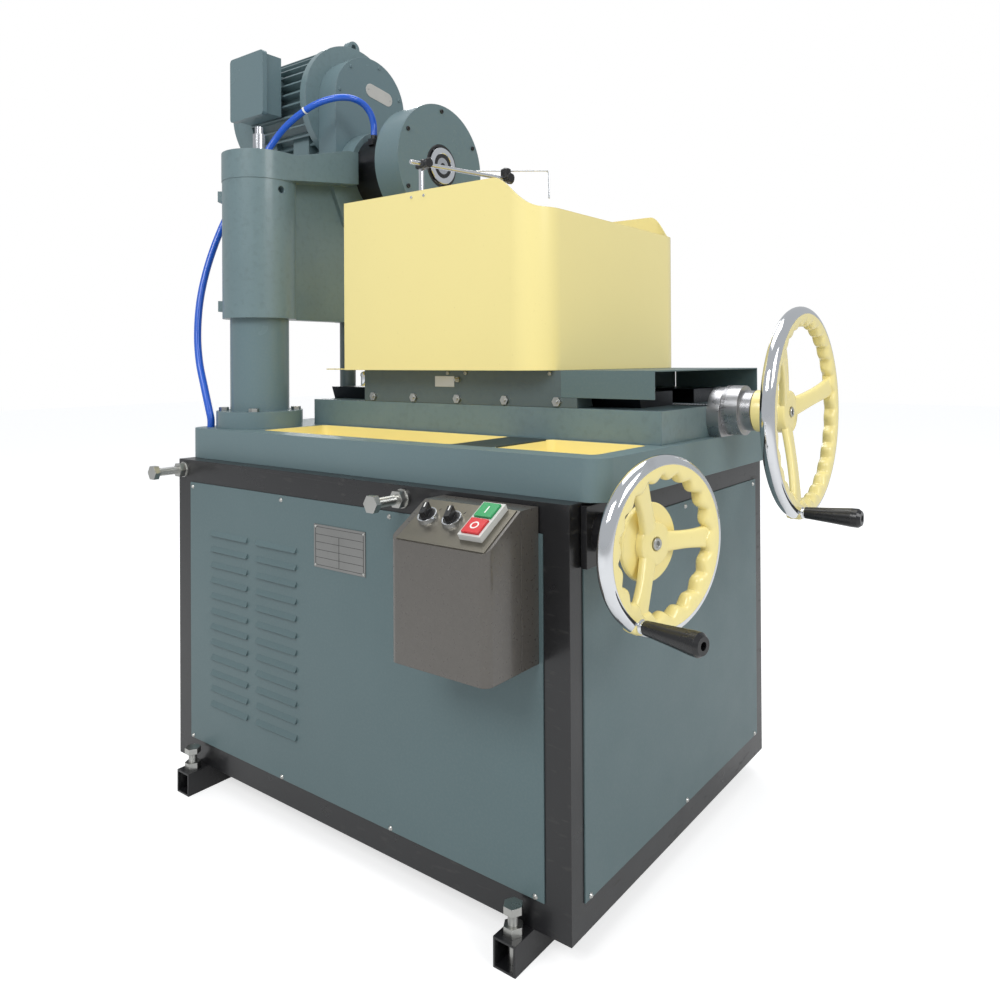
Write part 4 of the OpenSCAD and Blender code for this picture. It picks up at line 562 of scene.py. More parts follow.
HOSE_ROUTE = [
    (-434, -272, 657), (-434, -272, 672), (-440, -272, 690), (-458, -271, 735), (-478, -269, 785),
    (-492, -264, 840), (-500, -254, 905), (-502, -238, 970), (-500, -216, 1035), (-496, -190, 1095),
    (-491, -158, 1150), (-484, -128, 1200), (-470, -107, 1245), (-444, -92, 1283), (-408, -79, 1311),
    (-368, -63, 1332), (-333, -42, 1343), (-312, -18, 1345), (-303, 8, 1338), (-300, 26, 1323),
    (-300, 36, 1304), (-300, 38, 1288), (-300, 38, 1275),
]
HOSE_R = 7.0
HOSE_STEPS, HOSE_SIDES = 8, 24

# Where the hose's bend starts and where it ends, in metres; nothing reads these points, and the hose is only
# baked in place
BEND_FOOT, BEND_TOP = (-0.49, -0.2, 0.70), (-0.49, -0.2, 1.20)
TIE_NEAR = (-395, -74, 1318)


def make_tie(path):
    half_w, edge_rise, rise, sink = 2.0, 0.9, 1.1, 0.3
    near = Vector(TIE_NEAR)
    spot = min(range(1, len(path) - 1), key=lambda k: (path[k] - near).length)
    ahead = (path[spot + 1] - path[spot - 1]).normalized()
    inner, edge = HOSE_R - sink, HOSE_R + edge_rise
    profile = [(inner, -half_w), (edge, -half_w), (HOSE_R + rise, 0.0), (edge, half_w), (inner, half_w),
               (inner, -half_w)]
    tie = Shape()
    tie.lathe(basis_at(path[spot], ahead), profile, 32, caps=OPEN)
    return tie.piece("hose_tie", ["mark_white"], "head", (), "coolant_hose")


def make_hose():
    path = curve_through(HOSE_ROUTE, HOSE_STEPS)
    band = make_tie(path)
    shape = Shape()
    shape.tube(path, HOSE_R, HOSE_SIDES)
    hose = shape.piece("hose", ["hose"], None, ["coolant_hose"], "coolant_hose", 60.0,
                       ("base", "head", BEND_FOOT, BEND_TOP))


make_hose()


# Handwheels

RIM_R = 11.0
RIM_AROUND, RIM_SIDES = 144, 28
WHEEL_ANGLE = 60.0

# The finger notches of the cream ring: how many to a rim radius, and how deep
NOTCHES_SHARE, NOTCH_STEPS, GRIP_SIDES = 2.2, 12, 16
GRIP_DEPTH_SHARE, NOTCH_DEPTH_SHARE = 1.22, 0.62
GRIP_GAP, GRIP_PROUD = 0.4, 0.2

ARMS, ARM_STEPS, ARM_SIDES, ARM_THICK, ARM_THINNING, ARM_SEAT = 3, 14, 24, 6.4, 0.8, 7.0
HUB_EDGE, HUB_CHAMFER, RECESS_R, RECESS_STEP, RECESS = 2.0, 0.8, 9.0, 0.6, 1.6
DISC_EDGE, DISC_THICK = 1.5, 8.0
BOSS_R, BOSS_EDGE = 11.6, 1.0

# The radius at which a turned skin closes on its axis
AXIS_R = 0.2


def centre_of(node):
    low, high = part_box(node)
    return (low + high) * 0.5 / MM


def rounded(value, power):
    """A sine or cosine whose curve is made fuller; it squares up a round section."""
    return copysign(abs(value) ** power, value)


def swept(at, around, section):
    """The rings of a skin that runs round an axis; section gives (radius, height) pairs for an angle."""
    rings = []
    for angle in turns_of(around):
        rings.append([at(radius * cos(angle), radius * sin(angle), height)
                      for radius, height in section(angle)])
    return rings


def make_rim(name, node, body, at, mean_r):
    """The chromed outer ring, which stands for the frame's whole wheel."""
    outline = [(mean_r + RIM_R * cos(turn), RIM_R * sin(turn)) for turn in turns_of(RIM_SIDES)]
    rim = Shape()
    rim.rings(swept(at, RIM_AROUND, lambda angle: outline), closed=True)
    rim.piece(name + "_rim", ["chrome"], body, [node], node, WHEEL_ANGLE)


def add_grip_ring(shape, at, mean_r):
    """The cream half ring inside the rim, scalloped for the fingers."""
    notches = round(mean_r / RIM_R * NOTCHES_SHARE)

    def outline(angle):
        bite = (0.5 - 0.5 * cos(notches * angle)) ** 0.7
        depth = RIM_R * (GRIP_DEPTH_SHARE + NOTCH_DEPTH_SHARE * bite)
        turns = [pi * (k / GRIP_SIDES - 0.5) for k in range(GRIP_SIDES + 1)]
        return [(mean_r - GRIP_GAP - depth * abs(cos(turn)) ** 0.6,
                 (RIM_R + GRIP_PROUD) * rounded(sin(turn), 0.8)) for turn in turns]

    shape.rings(swept(at, notches * NOTCH_STEPS, outline), closed=True)


def add_arm(shape, at, lean, start, end, face, half_width):
    """One arm, which dips from the rim to the hub and is narrowest near its middle."""
    along = (cos(lean), sin(lean))
    rings = []
    for step in range(ARM_STEPS + 1):
        t = step / ARM_STEPS
        reach = start + (end - start) * t
        sink = (-face - ARM_SEAT) * (1.0 - t) ** 1.3
        width = half_width * (1.08 - 0.16 * sin(pi * t) + 0.1 * t ** 6)
        thick = ARM_THICK - ARM_THINNING * t
        ring = []
        for turn in turns_of(ARM_SIDES):
            u = width * rounded(cos(turn), 0.5)
            w = thick * rounded(sin(turn), 0.6)
            ring.append(at(reach * along[0] - u * along[1], reach * along[1] + u * along[0], sink + w))
        rings.append(ring)
    shape.rings(rings)


def add_hub(shape, at, hub_r, back, top, disc_r):
    """The hub from its back to its recessed face, with the disc that some wheels carry behind it."""
    shape.lathe(at, [(0.5 * hub_r, -back), (0.9 * hub_r, -back), (hub_r, -back + HUB_EDGE),
                     (hub_r, top - 3 * HUB_CHAMFER), (0.97 * hub_r, top - HUB_CHAMFER), (0.9 * hub_r, top),
                     (RECESS_R, top), (RECESS_R - RECESS_STEP, top - RECESS), (AXIS_R, top - RECESS)], 64)
    if disc_r:
        front = -back + DISC_THICK
        rim = disc_r - DISC_EDGE
        shape.lathe(at, [(0.5 * hub_r, -back), (rim, -back), (disc_r, -back + DISC_EDGE),
                         (disc_r, front - DISC_EDGE), (rim, front), (0.5 * hub_r, front)], 96)


def make_wheel_screw(name, node, body, at):
    radius, height, edge, socket_r, socket_edge, floor = 7.8, 2.4, 0.8, 3.8, 0.5, -0.8
    foot = -RECESS - 0.5 * AXIS_R
    head = Shape()
    head.lathe(at, [(AXIS_R, foot), (radius, foot), (radius, height - edge), (radius - edge, height),
                    (socket_r + socket_edge, height), (socket_r, height - socket_edge), (socket_r, floor),
                    (AXIS_R, floor)], 40)
    head.piece(name + "_screw", ["zinc"], body, (), node)


def make_ferrule(name, node, body, at):
    """The bright collar between the rim and the grip."""
    radius, top_r, bore, foot = 8.8, 7.0, 5.0, 10.4
    ferrule = Shape()
    ferrule.lathe(at, [(bore, foot), (radius, foot), (radius, foot + 1.6), (top_r, foot + 3.6),
                       (top_r, foot + 5.0), (bore, foot + 5.4)], 40)
    ferrule.piece(name + "_ferrule", ["chrome"], body, (), node)


def handwheel(name, node, grip_node, body, centre, axis, mean_r, back, face, hub_r, arm, disc_r):
    """A chrome-edged cast wheel; its hub lies from back to face, and arm is half its arms' width."""
    axis = Vector(axis).normalized()
    centre = Vector(centre)
    grip_side = centre_of(grip_node) - centre
    grip_side = (grip_side - axis * grip_side.dot(axis)).normalized()
    at = basis_at(centre, axis, grip_side)
    make_rim(name, node, body, at, mean_r)

    inner = Shape()
    add_grip_ring(inner, at, mean_r)
    for lean in turns_of(ARMS):
        add_arm(inner, at, lean, 0.6 * hub_r, mean_r - 1.2 * RIM_R, face, arm)
    add_hub(inner, at, hub_r, back, -face, disc_r)
    boss = basis_at(at(mean_r, 0, 0), axis)
    inner.lathe(boss, [(0.5, -0.95 * RIM_R), (BOSS_R - BOSS_EDGE, -0.95 * RIM_R), (BOSS_R, -0.5 * RIM_R),
                       (BOSS_R, 0.6 * RIM_R), (BOSS_R - BOSS_EDGE, 0.96 * RIM_R), (0.5, 0.96 * RIM_R)], 40)
    inner.piece(name + "_spokes", ["cream"], body, (), node, 40.0)

    make_wheel_screw(name, node, body, basis_at(at(0, 0, -face), axis, grip_side))
    make_ferrule(name, node, body, boss)


# The plane that holds the spindle, the motor and the lead screw, and their heights
AXIS_Y, SPINDLE_Z, MOTOR_Z, SCREW_Z = 102, 1200, 1372, 700
ALONG_X = (1, 0, 0)
ALONG_Y = (0, 1, 0)
TO_FRONT = (0, -1, 0)
UPWARD = (0, 0, 1)

LIFT_AT, LIFT_AXIS = (558, -293, 557), (0.9755, -0.2198, 0.0)
CROSS_AT = (603, AXIS_Y, SCREW_Z)
handwheel("cross_wheel", "cross_handwheel", "cross_grip", "feed_screw", CROSS_AT, ALONG_X,
          mean_r=156.0, back=74.7, face=18.0, hub_r=34.0, arm=14.5, disc_r=0)
handwheel("lift_wheel_dressed", "lift_handwheel", "lift_grip", "lift_wheel", LIFT_AT, LIFT_AXIS,
          mean_r=100.0, back=28.0, face=9.0, hub_r=27.0, arm=12.5, disc_r=50.0)


# Gauge: bright rods held by black clamps with fluted knobs

POST_X, POST_Y = 10.0, -140.0
POST_D, ROD_D, POINTER_D = 10.0, 8.0, 3.0
GAUGE_Z, POINTER_Z = 1132.0, 1147.2
ROD_START, ROD_END, ROD_TURN = -29.2, 195.7, 77.3
ROD_SIDE = -(0.5 * POST_D + 0.6 * ROD_D)
ROD_EDGE = 0.6
POINTER_TURN, POINTER_TAIL, POINTER_TIP, POINTER_DROP, POINTER_BEND = -40.4, 57.0, 82.5, 53.0, 6.0
POINTER_AT = ROD_END - 0.9 * POST_D
BEND_STEPS = 6
CLAMP_EDGE, FAR_CLAMP_EDGE = 2.2, 2.4
FLUTES, FLUTE_DEPTH, KNOB_EDGE, LEAST_R = 15, 0.5, 0.8, 0.05


def knob(shape, basis, radius, low, high):
    """A black screw head with a fluted rim."""
    rings = []
    for share, height in ((0.0, low), (0.9, low), (1.0, low + KNOB_EDGE),
                          (1.0, high - KNOB_EDGE), (0.9, high), (0.0, high)):
        ring = []
        for angle in turns_of(4 * FLUTES):
            wave = 0.5 + 0.5 * cos(FLUTES * angle) if share == 1.0 else 0.5
            reach = max(LEAST_R, share * radius - FLUTE_DEPTH * wave)
            ring.append(basis(reach * cos(angle), reach * sin(angle), height))
        rings.append(ring)
    shape.rings(rings)


def level_heading(degrees):
    angle = radians(degrees)
    return Vector((cos(angle), sin(angle), 0.0))


GAUGE_ALONG = level_heading(ROD_TURN)
GAUGE_SIDE = Vector((-GAUGE_ALONG.y, GAUGE_ALONG.x, 0.0))


def gauge_spot(reach, across, height):
    """A place given along the gauge's rod and across it, from its post."""
    point = GAUGE_ALONG * reach + GAUGE_SIDE * across
    return (POST_X + point.x, POST_Y + point.y, height)


def make_gauge_rods():
    rods = Shape()
    rod = basis_at(gauge_spot(ROD_START, ROD_SIDE, GAUGE_Z), GAUGE_ALONG)
    length = ROD_END - ROD_START
    radius, edge = ROD_D / 2, ROD_D / 2 - ROD_EDGE
    rods.lathe(rod, [(AXIS_R, 0), (edge, 0), (radius, ROD_EDGE), (radius, length - ROD_EDGE),
                     (edge, length), (AXIS_R, length)], 32)
    aim = level_heading(ROD_TURN + POINTER_TURN)
    hub = Vector(gauge_spot(POINTER_AT, ROD_SIDE, POINTER_Z))
    tail, tip = hub - aim * POINTER_TAIL, hub + aim * POINTER_TIP
    bend = []
    for step in range(BEND_STEPS + 1):
        angle = pi / 2 * step / BEND_STEPS
        fall = Vector((0, 0, POINTER_BEND * (1 - cos(angle))))
        bend.append(tip + aim * (POINTER_BEND * (sin(angle) - 1.0)) - fall)
    rods.tube([tail, hub] + bend + [tip - Vector((0, 0, POINTER_DROP))], POINTER_D / 2, 14)
    rods.piece("gauge_rods", ["chrome"], "gauge", ["gauge_arm"], "gauge_arm")


def make_gauge_clamps():
    clamps = Shape()
    upright = basis_at((POST_X, POST_Y, 0), UPWARD, GAUGE_ALONG)
    clamps.block(upright, (-0.9 * POST_D, ROD_SIDE - 0.9 * ROD_D, GAUGE_Z - 0.8 * POST_D),
                 (0.9 * POST_D, 0.7 * POST_D, GAUGE_Z + 0.7 * POST_D), CLAMP_EDGE)
    far = basis_at(gauge_spot(POINTER_AT, ROD_SIDE, 0), UPWARD, GAUGE_ALONG)
    clamps.block(far, (-0.8 * POST_D, -0.8 * POST_D, GAUGE_Z - 0.6 * POST_D),
                 (0.8 * POST_D, 0.8 * POST_D, POINTER_Z + 1.6 * POINTER_D), FAR_CLAMP_EDGE)
    post_knob = basis_at(gauge_spot(0, ROD_SIDE - 0.9 * ROD_D, GAUGE_Z), -GAUGE_SIDE)
    end_knob = basis_at(gauge_spot(ROD_END, ROD_SIDE, GAUGE_Z + 2.0), GAUGE_ALONG)
    side_knob = basis_at(gauge_spot(POINTER_AT, ROD_SIDE - 0.7 * POST_D, GAUGE_Z), -GAUGE_SIDE)
    knob(clamps, post_knob, radius=8.5, low=-1.0, high=9.0)
    knob(clamps, end_knob, radius=10.5, low=-3.0, high=5.0)
    knob(clamps, side_knob, radius=9.0, low=-1.0, high=9.0)
    clamps.piece("gauge_clamps", ["plastic_black"], "gauge", (), "gauge_arm")


make_gauge_rods()
make_gauge_clamps()


# Small parts on the faces of the machine

SEAT = 0.6
RIVET_SEAT = 0.3
PLATE_SEAT = 0.2


def reach_of(node, axis):
    """The least and greatest distance of a node's points along an axis, in millimetres."""
    axis = Vector(axis).normalized()
    values = [v.co.dot(axis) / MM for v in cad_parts[node].data.vertices]
    return min(values), max(values)


def screw(shape, centre, axis, radius, height=2.4):
    """A pan head with a small round recess, seated a little below the face."""
    floor = 0.5 * height
    shape.lathe(basis_at(centre, axis),
                [(AXIS_R, -SEAT), (radius, -SEAT), (radius, 0.45 * height), (0.86 * radius, 0.8 * height),
                 (0.5 * radius, height), (0.3 * radius, height), (0.2 * radius, floor),
                 (LEAST_R, floor)], 24)


def socket_screw(shape, centre, axis, radius, height, edge=0.7):
    """A cap head with a round socket, seated a little below the face."""
    floor = 0.4 * height
    shape.lathe(basis_at(centre, axis),
                [(AXIS_R, -SEAT), (radius, -SEAT), (radius, height - edge), (radius - edge, height),
                 (0.55 * radius, height), (0.5 * radius, floor), (LEAST_R, floor)], 24)


def on_circle(face, height, reach, degrees):
    """A place on a circle about an axis along X, on a face that looks along X."""
    angle = radians(degrees)
    return (face, AXIS_Y + reach * cos(angle), height + reach * sin(angle))


def capsule(half_length, radius, count=16):
    """A slot-shaped outline; half_length reaches to the middles of its round ends."""
    outline = []
    for end in (1, -1):
        for k in range(count + 1):
            angle = pi * (k / count - 0.5) + pi * (1 - end) / 2
            outline.append((half_length * end + radius * cos(angle), radius * sin(angle)))
    return outline


def flat_ring(inner, outer, low, high):
    """A ring's section, for a skin turned without caps."""
    return [(inner, low), (outer, low), (outer, high), (inner, high), (inner, low)]


def bevelled_ring(inner, outer, low, high, bevel, fall=1.0):
    """A ring's section whose upper edges are cut back by bevel and down by fall."""
    return [(inner, low), (outer, low), (outer, high - fall), (outer - bevel, high), (inner + bevel, high),
            (inner, high - fall), (inner, low)]


PLATE_X, PLATE_Z, PLATE_HALF_W, PLATE_HALF_H = 13, 487, 60.5, 34.75
RULE, RULE_RISE, RULE_SEAT, MARGIN, ROW, ROWS = 0.5, 0.25, 0.1, 4, 12.3, 4
RIVET_R, RIVET_INSET = 2.0, 3.4


def make_name_plate():
    front = reach_of("name_plate", ALONG_Y)[0]
    x0, x1 = PLATE_X - PLATE_HALF_W, PLATE_X + PLATE_HALF_W
    z0, z1 = PLATE_Z - PLATE_HALF_H, PLATE_Z + PLATE_HALF_H
    left, right, foot, top = x0 + MARGIN, x1 - MARGIN, z0 + MARGIN, z1 - MARGIN
    on_panel = basis_at((0, front, 0), TO_FRONT, ALONG_X)
    rules = Shape()
    for x in (left, right - RULE):
        rules.block(on_panel, (x, foot, -RULE_SEAT), (x + RULE, top, RULE_RISE))
    for z in [foot, top - RULE] + [foot + ROW * (k + 1) for k in range(ROWS)]:
        rules.block(on_panel, (left, z, -RULE_SEAT), (right, z + RULE, RULE_RISE))
    rules.block(on_panel, (PLATE_X - RULE / 2, foot, -RULE_SEAT),
                (PLATE_X + RULE / 2, foot + ROW * ROWS, RULE_RISE))
    rules.piece("name_plate_rules", ["mark_black"], "base", (), "name_plate")
    rivets = Shape()
    profile = [(0.1, -RIVET_SEAT), (RIVET_R, -RIVET_SEAT), (0.95 * RIVET_R, 0.5), (0.6 * RIVET_R, 1.0),
               (0.1, 1.2)]
    for x in (x0 + RIVET_INSET, x1 - RIVET_INSET):
        for z in (z0 + RIVET_INSET, z1 - RIVET_INSET):
            rivets.lathe(basis_at((x, front, z), TO_FRONT), profile, 20)
    rivets.piece("name_plate_rivets", ["zinc"], "base", (), "name_plate")


PLATE_RISE, PLATE_EDGE = 0.8, 0.3


def make_guard_plate():
    y, z, tilt = 127, 1401, radians(-9.0)
    half_length, radius, pin_at, pin_r = 26.0, 15.5, 34.0, 1.8
    face = reach_of("belt_guard", ALONG_X)[1]
    on_guard = basis_at((face, y, z), ALONG_X, (0, cos(tilt), sin(tilt)))
    plate = Shape()
    plate.prism(on_guard, capsule(half_length, radius), -PLATE_SEAT, PLATE_RISE, PLATE_EDGE)
    plate.piece("guard_plate", ["label"], "head", (), "name_plate")
    pins = Shape()
    profile = [(0.1, -RIVET_SEAT), (pin_r, -RIVET_SEAT), (pin_r - 0.2, 0.6), (0.1, 1.0)]
    for u in (-pin_at, pin_at):
        pins.lathe(basis_at(on_guard(u, 0, PLATE_RISE), ALONG_X), profile, 16)
    pins.piece("guard_plate_pins", ["zinc"], "head", (), "name_plate")


def make_carriage_plate():
    x, z, half_w, half_h = 31, 747.5, 23, 9.5
    on_side = basis_at((x, reach_of("carriage", ALONG_Y)[0], z), TO_FRONT, ALONG_X)
    label = Shape()
    label.block(on_side, (-half_w, -half_h, -PLATE_SEAT), (half_w, half_h, PLATE_RISE), PLATE_EDGE)
    label.piece("carriage_plate", ["label"], "carriage", (), "name_plate")


def make_cover_screws():
    """Screws on the wheel's cover and the belt guard, and the black ring in the cover's bore."""
    cover_turns, cover_reach = (30, 90, 150, 210, 330), 117
    guard_turns, guard_reach = (20, 75, 130, 172), 94
    bore_r, ring_r = 40.0, 45.8
    black, painted, ring = Shape(), Shape(), Shape()
    cover = reach_of("wheel_cover", ALONG_X)[1]
    guard = reach_of("belt_guard", ALONG_X)[1]
    for turn in cover_turns:
        socket_screw(black, on_circle(cover, SPINDLE_Z, cover_reach, turn), ALONG_X, radius=4.6, height=3.2)
    for turn in guard_turns:
        screw(painted, on_circle(guard, MOTOR_Z, guard_reach, turn), ALONG_X, radius=4.2)
    black.piece("cover_screws", ["black"], "head", (), "wheel_cover")
    painted.piece("belt_guard_screws", ["gloss_blue"], "head", (), "belt_guard")
    ring.lathe(basis_at((cover, AXIS_Y, SPINDLE_Z), ALONG_X),
               bevelled_ring(bore_r, ring_r, -6.0, 0.6, bevel=1.0), 72, caps=OPEN)
    ring.piece("cover_ring", ["black"], "head", (), "wheel_cover")


def make_spindle_rings():
    """A bright and a black ring on the spindle's end, with a black dot at its middle."""
    steel_in, steel_out, black_in, black_out, dot_r = 26.0, 38.6, 17.5, 25.4, 6.5
    tip = reach_of("wheel_spindle", ALONG_X)[1]
    at = basis_at((tip, AXIS_Y, SPINDLE_Z), ALONG_X)
    rings = Shape()
    rings.lathe(at, bevelled_ring(steel_in, steel_out, -3.0, 1.4, bevel=1.2), 72, caps=OPEN)
    rings.lathe(at, flat_ring(black_in, black_out, -SEAT, 0.5), 64, 1, OPEN)
    rings.lathe(at, [(AXIS_R, -SEAT), (dot_r, -SEAT), (dot_r, 0.4), (AXIS_R, 0.4)], 40, 1)
    rings.piece("spindle_rings", ["chrome", "plastic_black"], "spindle", (), "wheel_spindle")


def make_carriage_fittings():
    """Screws, an oil nipple and an oil cup on the carriage's front."""
    screws_x, screws_z = (39, 81, 261), 762.5
    nipple_x, nipple_z, nipple_flats, nipple_turn = 63, 751, 9.0, 10.0
    cup_x, cup_y, cup_z, neck = -184, -98, 736, 6
    side = reach_of("carriage", ALONG_Y)[0]
    held = Shape()
    for x in screws_x:
        socket_screw(held, (x, side, screws_z), TO_FRONT, radius=3.2, height=3.0)
    held.piece("carriage_screws", ["zinc"], "carriage", (), "gib_screws")
    oiler = Shape()
    nipple = basis_at((nipple_x, side, nipple_z), TO_FRONT)
    oiler.prism(nipple, hexagon(nipple_flats, nipple_turn), -0.5, 4.0, 0.6)
    oiler.lathe(nipple, [(AXIS_R, 3.5), (3.0, 3.5), (3.0, 6.0), (2.0, 6.6), (3.0, 8.4), (2.2, 10.0),
                         (AXIS_R, 10.4)], 24)
    oiler.piece("oil_nipple", ["zinc"], "carriage", (), "gib_screws")
    cup = Shape()
    cup.lathe(basis_at((cup_x, cup_y, cup_z), UPWARD),
              [(AXIS_R, 0), (6.0, 0), (7.6, 3), (7.6, 19), (8.6, 19.5), (8.6, 24), (6.5, 27), (3.0, 28.6),
               (AXIS_R, 29)], 40)
    cup.lathe(basis_at((cup_x, cup_y, cup_z + neck), ALONG_X),
              [(AXIS_R, 0), (3.6, 0), (3.6, 8.5), (AXIS_R, 8.5)], 24)
    cup.piece("oil_cup", ["chrome"], "carriage", (), "gib_screws")


def thread_profile(length, radius=6.9, pitch=1.8, crest=0.45):
    """A bolt thread's section, as rings that only look like a helix."""
    profile = [(0.9 * radius, 0.0)]
    steps = int(length / pitch)
    for k in range(steps):
        profile += [(radius, k * pitch), (radius + crest, (k + 0.5) * pitch)]
    return profile + [(radius, steps * pitch), (0.9 * radius, steps * pitch)]


def make_threads():
    """The threads that stand out of the beam's bolts and of the levelling bolts' nuts."""
    beam_y, beam_z, beam_length = -350, 581, 36
    level_x, level_y, nut, level_length = 370, 352, 12, 15
    threads = Shape()
    for x in (152, -428):
        threads.lathe(basis_at((x, beam_y, beam_z), TO_FRONT), thread_profile(beam_length), 32)
    top = reach_of("skid_rails", UPWARD)[1]
    for x in (-level_x, level_x):
        for y in (-level_y, level_y):
            threads.lathe(basis_at((x, y, top + nut), UPWARD), thread_profile(level_length), 32)
    threads.piece("bolt_threads", ["zinc"], "base", (), "frame_bolts", 25.0)


def make_lead_screw():
    """The lead screw with its thread; it ends inside its wheel's hub, as the photograph shows."""
    pitch, turns, root_r, crest_r, journal_r = 5.0, 151, 7.4, 9.0, 10.0
    left, thread_left, thread_right, right = -326.0, -297.0, 461.0, 582.0
    tail_r, collar_r, edge = 6.3, 8.0, 0.5
    profile = [(AXIS_R, left), (tail_r - edge, left), (tail_r, left + 2 * edge), (tail_r, thread_left - 2.0),
               (collar_r, thread_left - 1.0)]
    for k in range(turns):
        x = thread_left + pitch * k
        profile += [(root_r, x), (crest_r, x + 0.16 * pitch), (crest_r, x + 0.5 * pitch),
                    (root_r, x + 0.66 * pitch)]
    profile += [(crest_r, thread_right), (journal_r, thread_right + 1.0), (journal_r, right),
                (AXIS_R, right)]
    turned = Shape()
    turned.lathe(basis_at((0, AXIS_Y, SCREW_Z), ALONG_X), profile, 32)
    turned.piece("lead_screw_thread", ["steel"], "feed_screw", ["lead_screw"], "lead_screw")


def radius_about(node, centre, axis, below=inf):
    """The greatest distance of a node's points from an axis, of those that lie below a height along it."""
    axis, centre = Vector(axis).normalized(), Vector(centre)
    radius = 0.0
    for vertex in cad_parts[node].data.vertices:
        offset = vertex.co / MM - centre
        height = offset.dot(axis)
        if height < below:
            radius = max(radius, (offset - axis * height).length)
    return radius


def make_lift_shaft():
    """The lift shaft with its coupling; it ends inside its wheel's hub, as the photograph shows."""
    radius, tip, edge, seek = 10.0, -12.0, 1.5, 10.0
    axis = Vector(LIFT_AXIS).normalized()
    foot = reach_of("lift_shaft", LIFT_AXIS)[0] - Vector(LIFT_AT).dot(axis)
    joint_r = radius_about("lift_shaft", LIFT_AT, axis, foot + seek)
    end = foot + 1.5 * joint_r
    shaft = Shape()
    shaft.lathe(basis_at(LIFT_AT, axis),
                [(AXIS_R, foot), (joint_r - edge, foot), (joint_r, foot + edge), (joint_r, end - edge),
                 (joint_r - edge, end), (radius, end), (radius, tip), (AXIS_R, tip)], 40)
    shaft.piece("lift_shaft_turned", ["steel"], "lift_wheel", ["lift_shaft"], "lift_shaft")


def graduate(name, node, body, centre, axis, count):
    """Engraved lines round a dial's rim, filled black; every fifth is a long one."""
    half_w, depth, rise, margin, short, long = 0.28, 0.3, 0.12, 1.0, 5.5, 9.0
    low, high = reach_of(node, axis)
    radius = radius_about(node, centre, axis)
    axis, centre = Vector(axis).normalized(), Vector(centre)
    start = low - centre.dot(axis) + margin
    at = basis_at(centre, axis)
    marks = Shape()
    for k, angle in enumerate(turns_of(count)):
        out = (at(cos(angle), sin(angle), 0) - centre).normalized()
        origin = centre + out * radius + axis * start
        length = min(short if k % 5 else long, 0.5 * (high - low))
        marks.block(basis_at(origin, out, axis), (0, -half_w, -depth), (length, half_w, rise))
    marks.piece(name, ["mark_black"], body, (), node)


# The control box's sloped face: its normal, its uphill direction and a frame on it
SLOPE = radians(32.0)
SLOPE_NORMAL = (0, -sin(SLOPE), cos(SLOPE))
SLOPE_UP = (0, cos(SLOPE), sin(SLOPE))
SLOPE_AT = Vector((0, -440, 551))
ON_SLOPE = basis_at(SLOPE_AT, SLOPE_NORMAL, ALONG_X)
SLOPE_FOOT = SLOPE_AT.dot(Vector(SLOPE_NORMAL))
SLOPE_START = SLOPE_AT.dot(Vector(SLOPE_UP))

MARK_SEAT, MARK_RISE, MARK_EDGE = 0.2, 0.25, 0.1
SELECTORS_X, SELECTOR_UP, SELECTOR_TURN = (270, 313), 46, 20.0


def height_on_slope(node):
    return reach_of(node, SLOPE_NORMAL)[1] - SLOPE_FOOT


def make_button_mark(node, body):
    bar_w, bar_l, ring_in, ring_out = 2.0, 12.0, 4.2, 6.2
    low, high = reach_of(node, SLOPE_UP)
    middle = 0.5 * (low + high) - SLOPE_START
    across = sum(reach_of(node, ALONG_X)) / 2
    at = basis_at(ON_SLOPE(across, middle, height_on_slope(node)), SLOPE_NORMAL, ALONG_X)
    mark = Shape()
    if node == "start_button":
        mark.block(at, (-bar_w / 2, -bar_l / 2, -MARK_SEAT), (bar_w / 2, bar_l / 2, MARK_RISE), MARK_EDGE)
    else:
        mark.lathe(at, flat_ring(ring_in, ring_out, -MARK_SEAT, MARK_RISE), 48, caps=OPEN)
    mark.piece(node + "_mark", ["mark_white"], body, (), node)


def make_selector_mark(node, body, x):
    half_w, start, end, rise = 0.9, 1.0, 10.0, 0.3
    lean = radians(SELECTOR_TURN)
    heading = (cos(lean), sin(lean) * cos(SLOPE), sin(lean) * sin(SLOPE))
    at = basis_at(ON_SLOPE(x, SELECTOR_UP, height_on_slope(node)), SLOPE_NORMAL, heading)
    mark = Shape()
    mark.block(at, (-half_w, start, -MARK_SEAT), (half_w, end, rise), MARK_EDGE)
    mark.piece(node + "_mark", ["mark_white"], body, (), node)


def make_ticks():
    """Two short black lines beside each selector."""
    start, end, radius = 17.0, 21.0, 0.5
    signs = Shape()
    at = basis_at(ON_SLOPE(0, 0, height_on_slope("control_plate")), SLOPE_NORMAL, ALONG_X)
    for x in SELECTORS_X:
        for degrees in (90, 45):
            angle = radians(degrees + SELECTOR_TURN)
            signs.tube([at(x + reach * cos(angle), SELECTOR_UP + reach * sin(angle), 0.0)
                        for reach in (start, (start + end) / 2, end)], radius, 8)
    signs.piece("control_plate_ticks", ["mark_black"], "base", (), "control_plate")


CROSS_DIAL_AT = (500, AXIS_Y, SCREW_Z)

make_name_plate()
make_guard_plate()
make_carriage_plate()
make_cover_screws()
make_spindle_rings()
make_carriage_fittings()
make_threads()
make_lead_screw()
make_lift_shaft()
make_button_mark("start_button", "button_start")
make_button_mark("stop_button", "button_stop")
make_selector_mark("selector_left", "selector_1", SELECTORS_X[0])
make_selector_mark("selector_right", "selector_2", SELECTORS_X[1])
make_ticks()
graduate("cross_dial_lines", "cross_dial", "feed_screw", CROSS_DIAL_AT, ALONG_X, count=100)
graduate("lift_dial_lines", "lift_dial", "lift_wheel", LIFT_AT, LIFT_AXIS, count=80)


# Studio

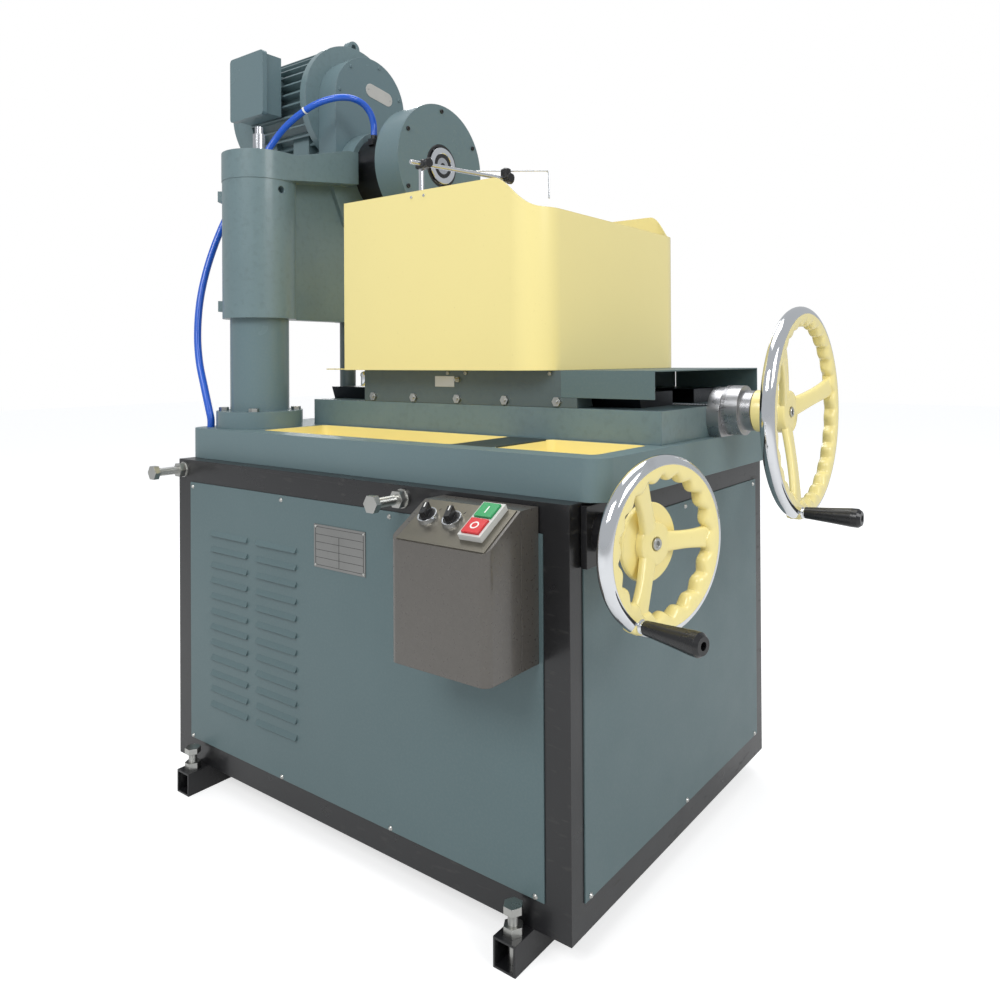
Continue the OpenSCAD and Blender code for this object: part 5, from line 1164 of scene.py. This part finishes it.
FLOOR_REACH, FLOOR_COLOUR = 14.0, (0.66, 0.66, 0.66, 1.0)
FLOOR_GLOW, FLOOR_MIRRORED = 0.62, 0.3
SKY_TINT, SKY_STRENGTH = (0.94, 0.97, 1.0, 1.0), 0.55
WHITE = (1.0, 1.0, 1.0, 1.0)


def make_floor():
    """A pale floor that the camera sees as near white, with the machine's soft shadow on it."""
    finish = Finish("floor_paint", FLOOR_COLOUR, rough=0.9, drift=0.01, round_edge=0)
    finish.relief(finish.noise(40.0, detail=2.0), depth_mm=0.2, strength=0.1)
    path = finish.tree.nodes.new("ShaderNodeLightPath")
    mirrored = finish.maths("MULTIPLY", path.outputs["Is Glossy Ray"], FLOOR_MIRRORED)
    seen = finish.maths("MAXIMUM", path.outputs["Is Camera Ray"], path.outputs["Is Transmission Ray"])
    seen = finish.maths("MAXIMUM", seen, mirrored)
    put(finish.shader, {"Emission Color": WHITE})
    finish.link(finish.maths("MULTIPLY", seen, FLOOR_GLOW), finish.shader.inputs["Emission Strength"])
    material = finish.done()
    mesh = bpy.data.meshes.new("floor")
    corners = [(x * FLOOR_REACH, y * FLOOR_REACH, 0) for x, y in ((-1, -1), (1, -1), (1, 1), (-1, 1))]
    mesh.from_pydata(corners, [], [(0, 1, 2, 3)])
    mesh.materials.append(material)
    linked("floor", mesh)


def make_world():
    """White for the camera's rays, a softer cool light for all others."""
    world = bpy.data.worlds.new("studio")
    scene.world = world
    world.use_nodes = True
    tree = world.node_tree
    backdrop = tree.nodes["Background"]
    put(backdrop, {"Color": WHITE, "Strength": 1.0})
    soft = tree.nodes.new("ShaderNodeBackground")
    put(soft, {"Color": SKY_TINT, "Strength": SKY_STRENGTH})
    path = tree.nodes.new("ShaderNodeLightPath")
    either = tree.nodes.new("ShaderNodeMath")
    either.operation = "MAXIMUM"
    tree.links.new(path.outputs["Is Camera Ray"], either.inputs[0])
    tree.links.new(path.outputs["Is Transmission Ray"], either.inputs[1])
    mix = tree.nodes.new("ShaderNodeMixShader")
    tree.links.new(either.outputs[0], mix.inputs[0])
    tree.links.new(soft.outputs[0], mix.inputs[1])
    tree.links.new(backdrop.outputs[0], mix.inputs[2])
    tree.links.new(mix.outputs[0], tree.nodes["World Output"].inputs["Surface"])


def area_light(name, place, target, size, power):
    """A rectangular lamp that looks at its target; size in metres, power in watts."""
    data = bpy.data.lights.new(name, "AREA")
    data.shape = "RECTANGLE"
    data.size, data.size_y = size
    data.energy = power
    lamp = linked(name, data)
    lamp.location = place
    lamp.rotation_euler = (Vector(target) - Vector(place)).to_track_quat("-Z", "Y").to_euler()


make_floor()
make_world()
area_light("key", (0.3, -3.2, 3.0), target=(0.0, 0.0, 1.0), size=(2.0, 1.4), power=58)
area_light("side", (3.4, -0.6, 2.6), target=(0.0, 0.0, 0.9), size=(1.6, 1.6), power=42)
area_light("top", (-0.6, 0.4, 3.8), target=(-0.1, 0.0, 0.8), size=(2.2, 2.2), power=44)
area_light("back", (-2.6, 2.6, 2.4), target=(0.0, 0.0, 0.8), size=(1.6, 1.6), power=40)

scene.view_settings.view_transform = "Standard"
bpy.context.view_layer.update()
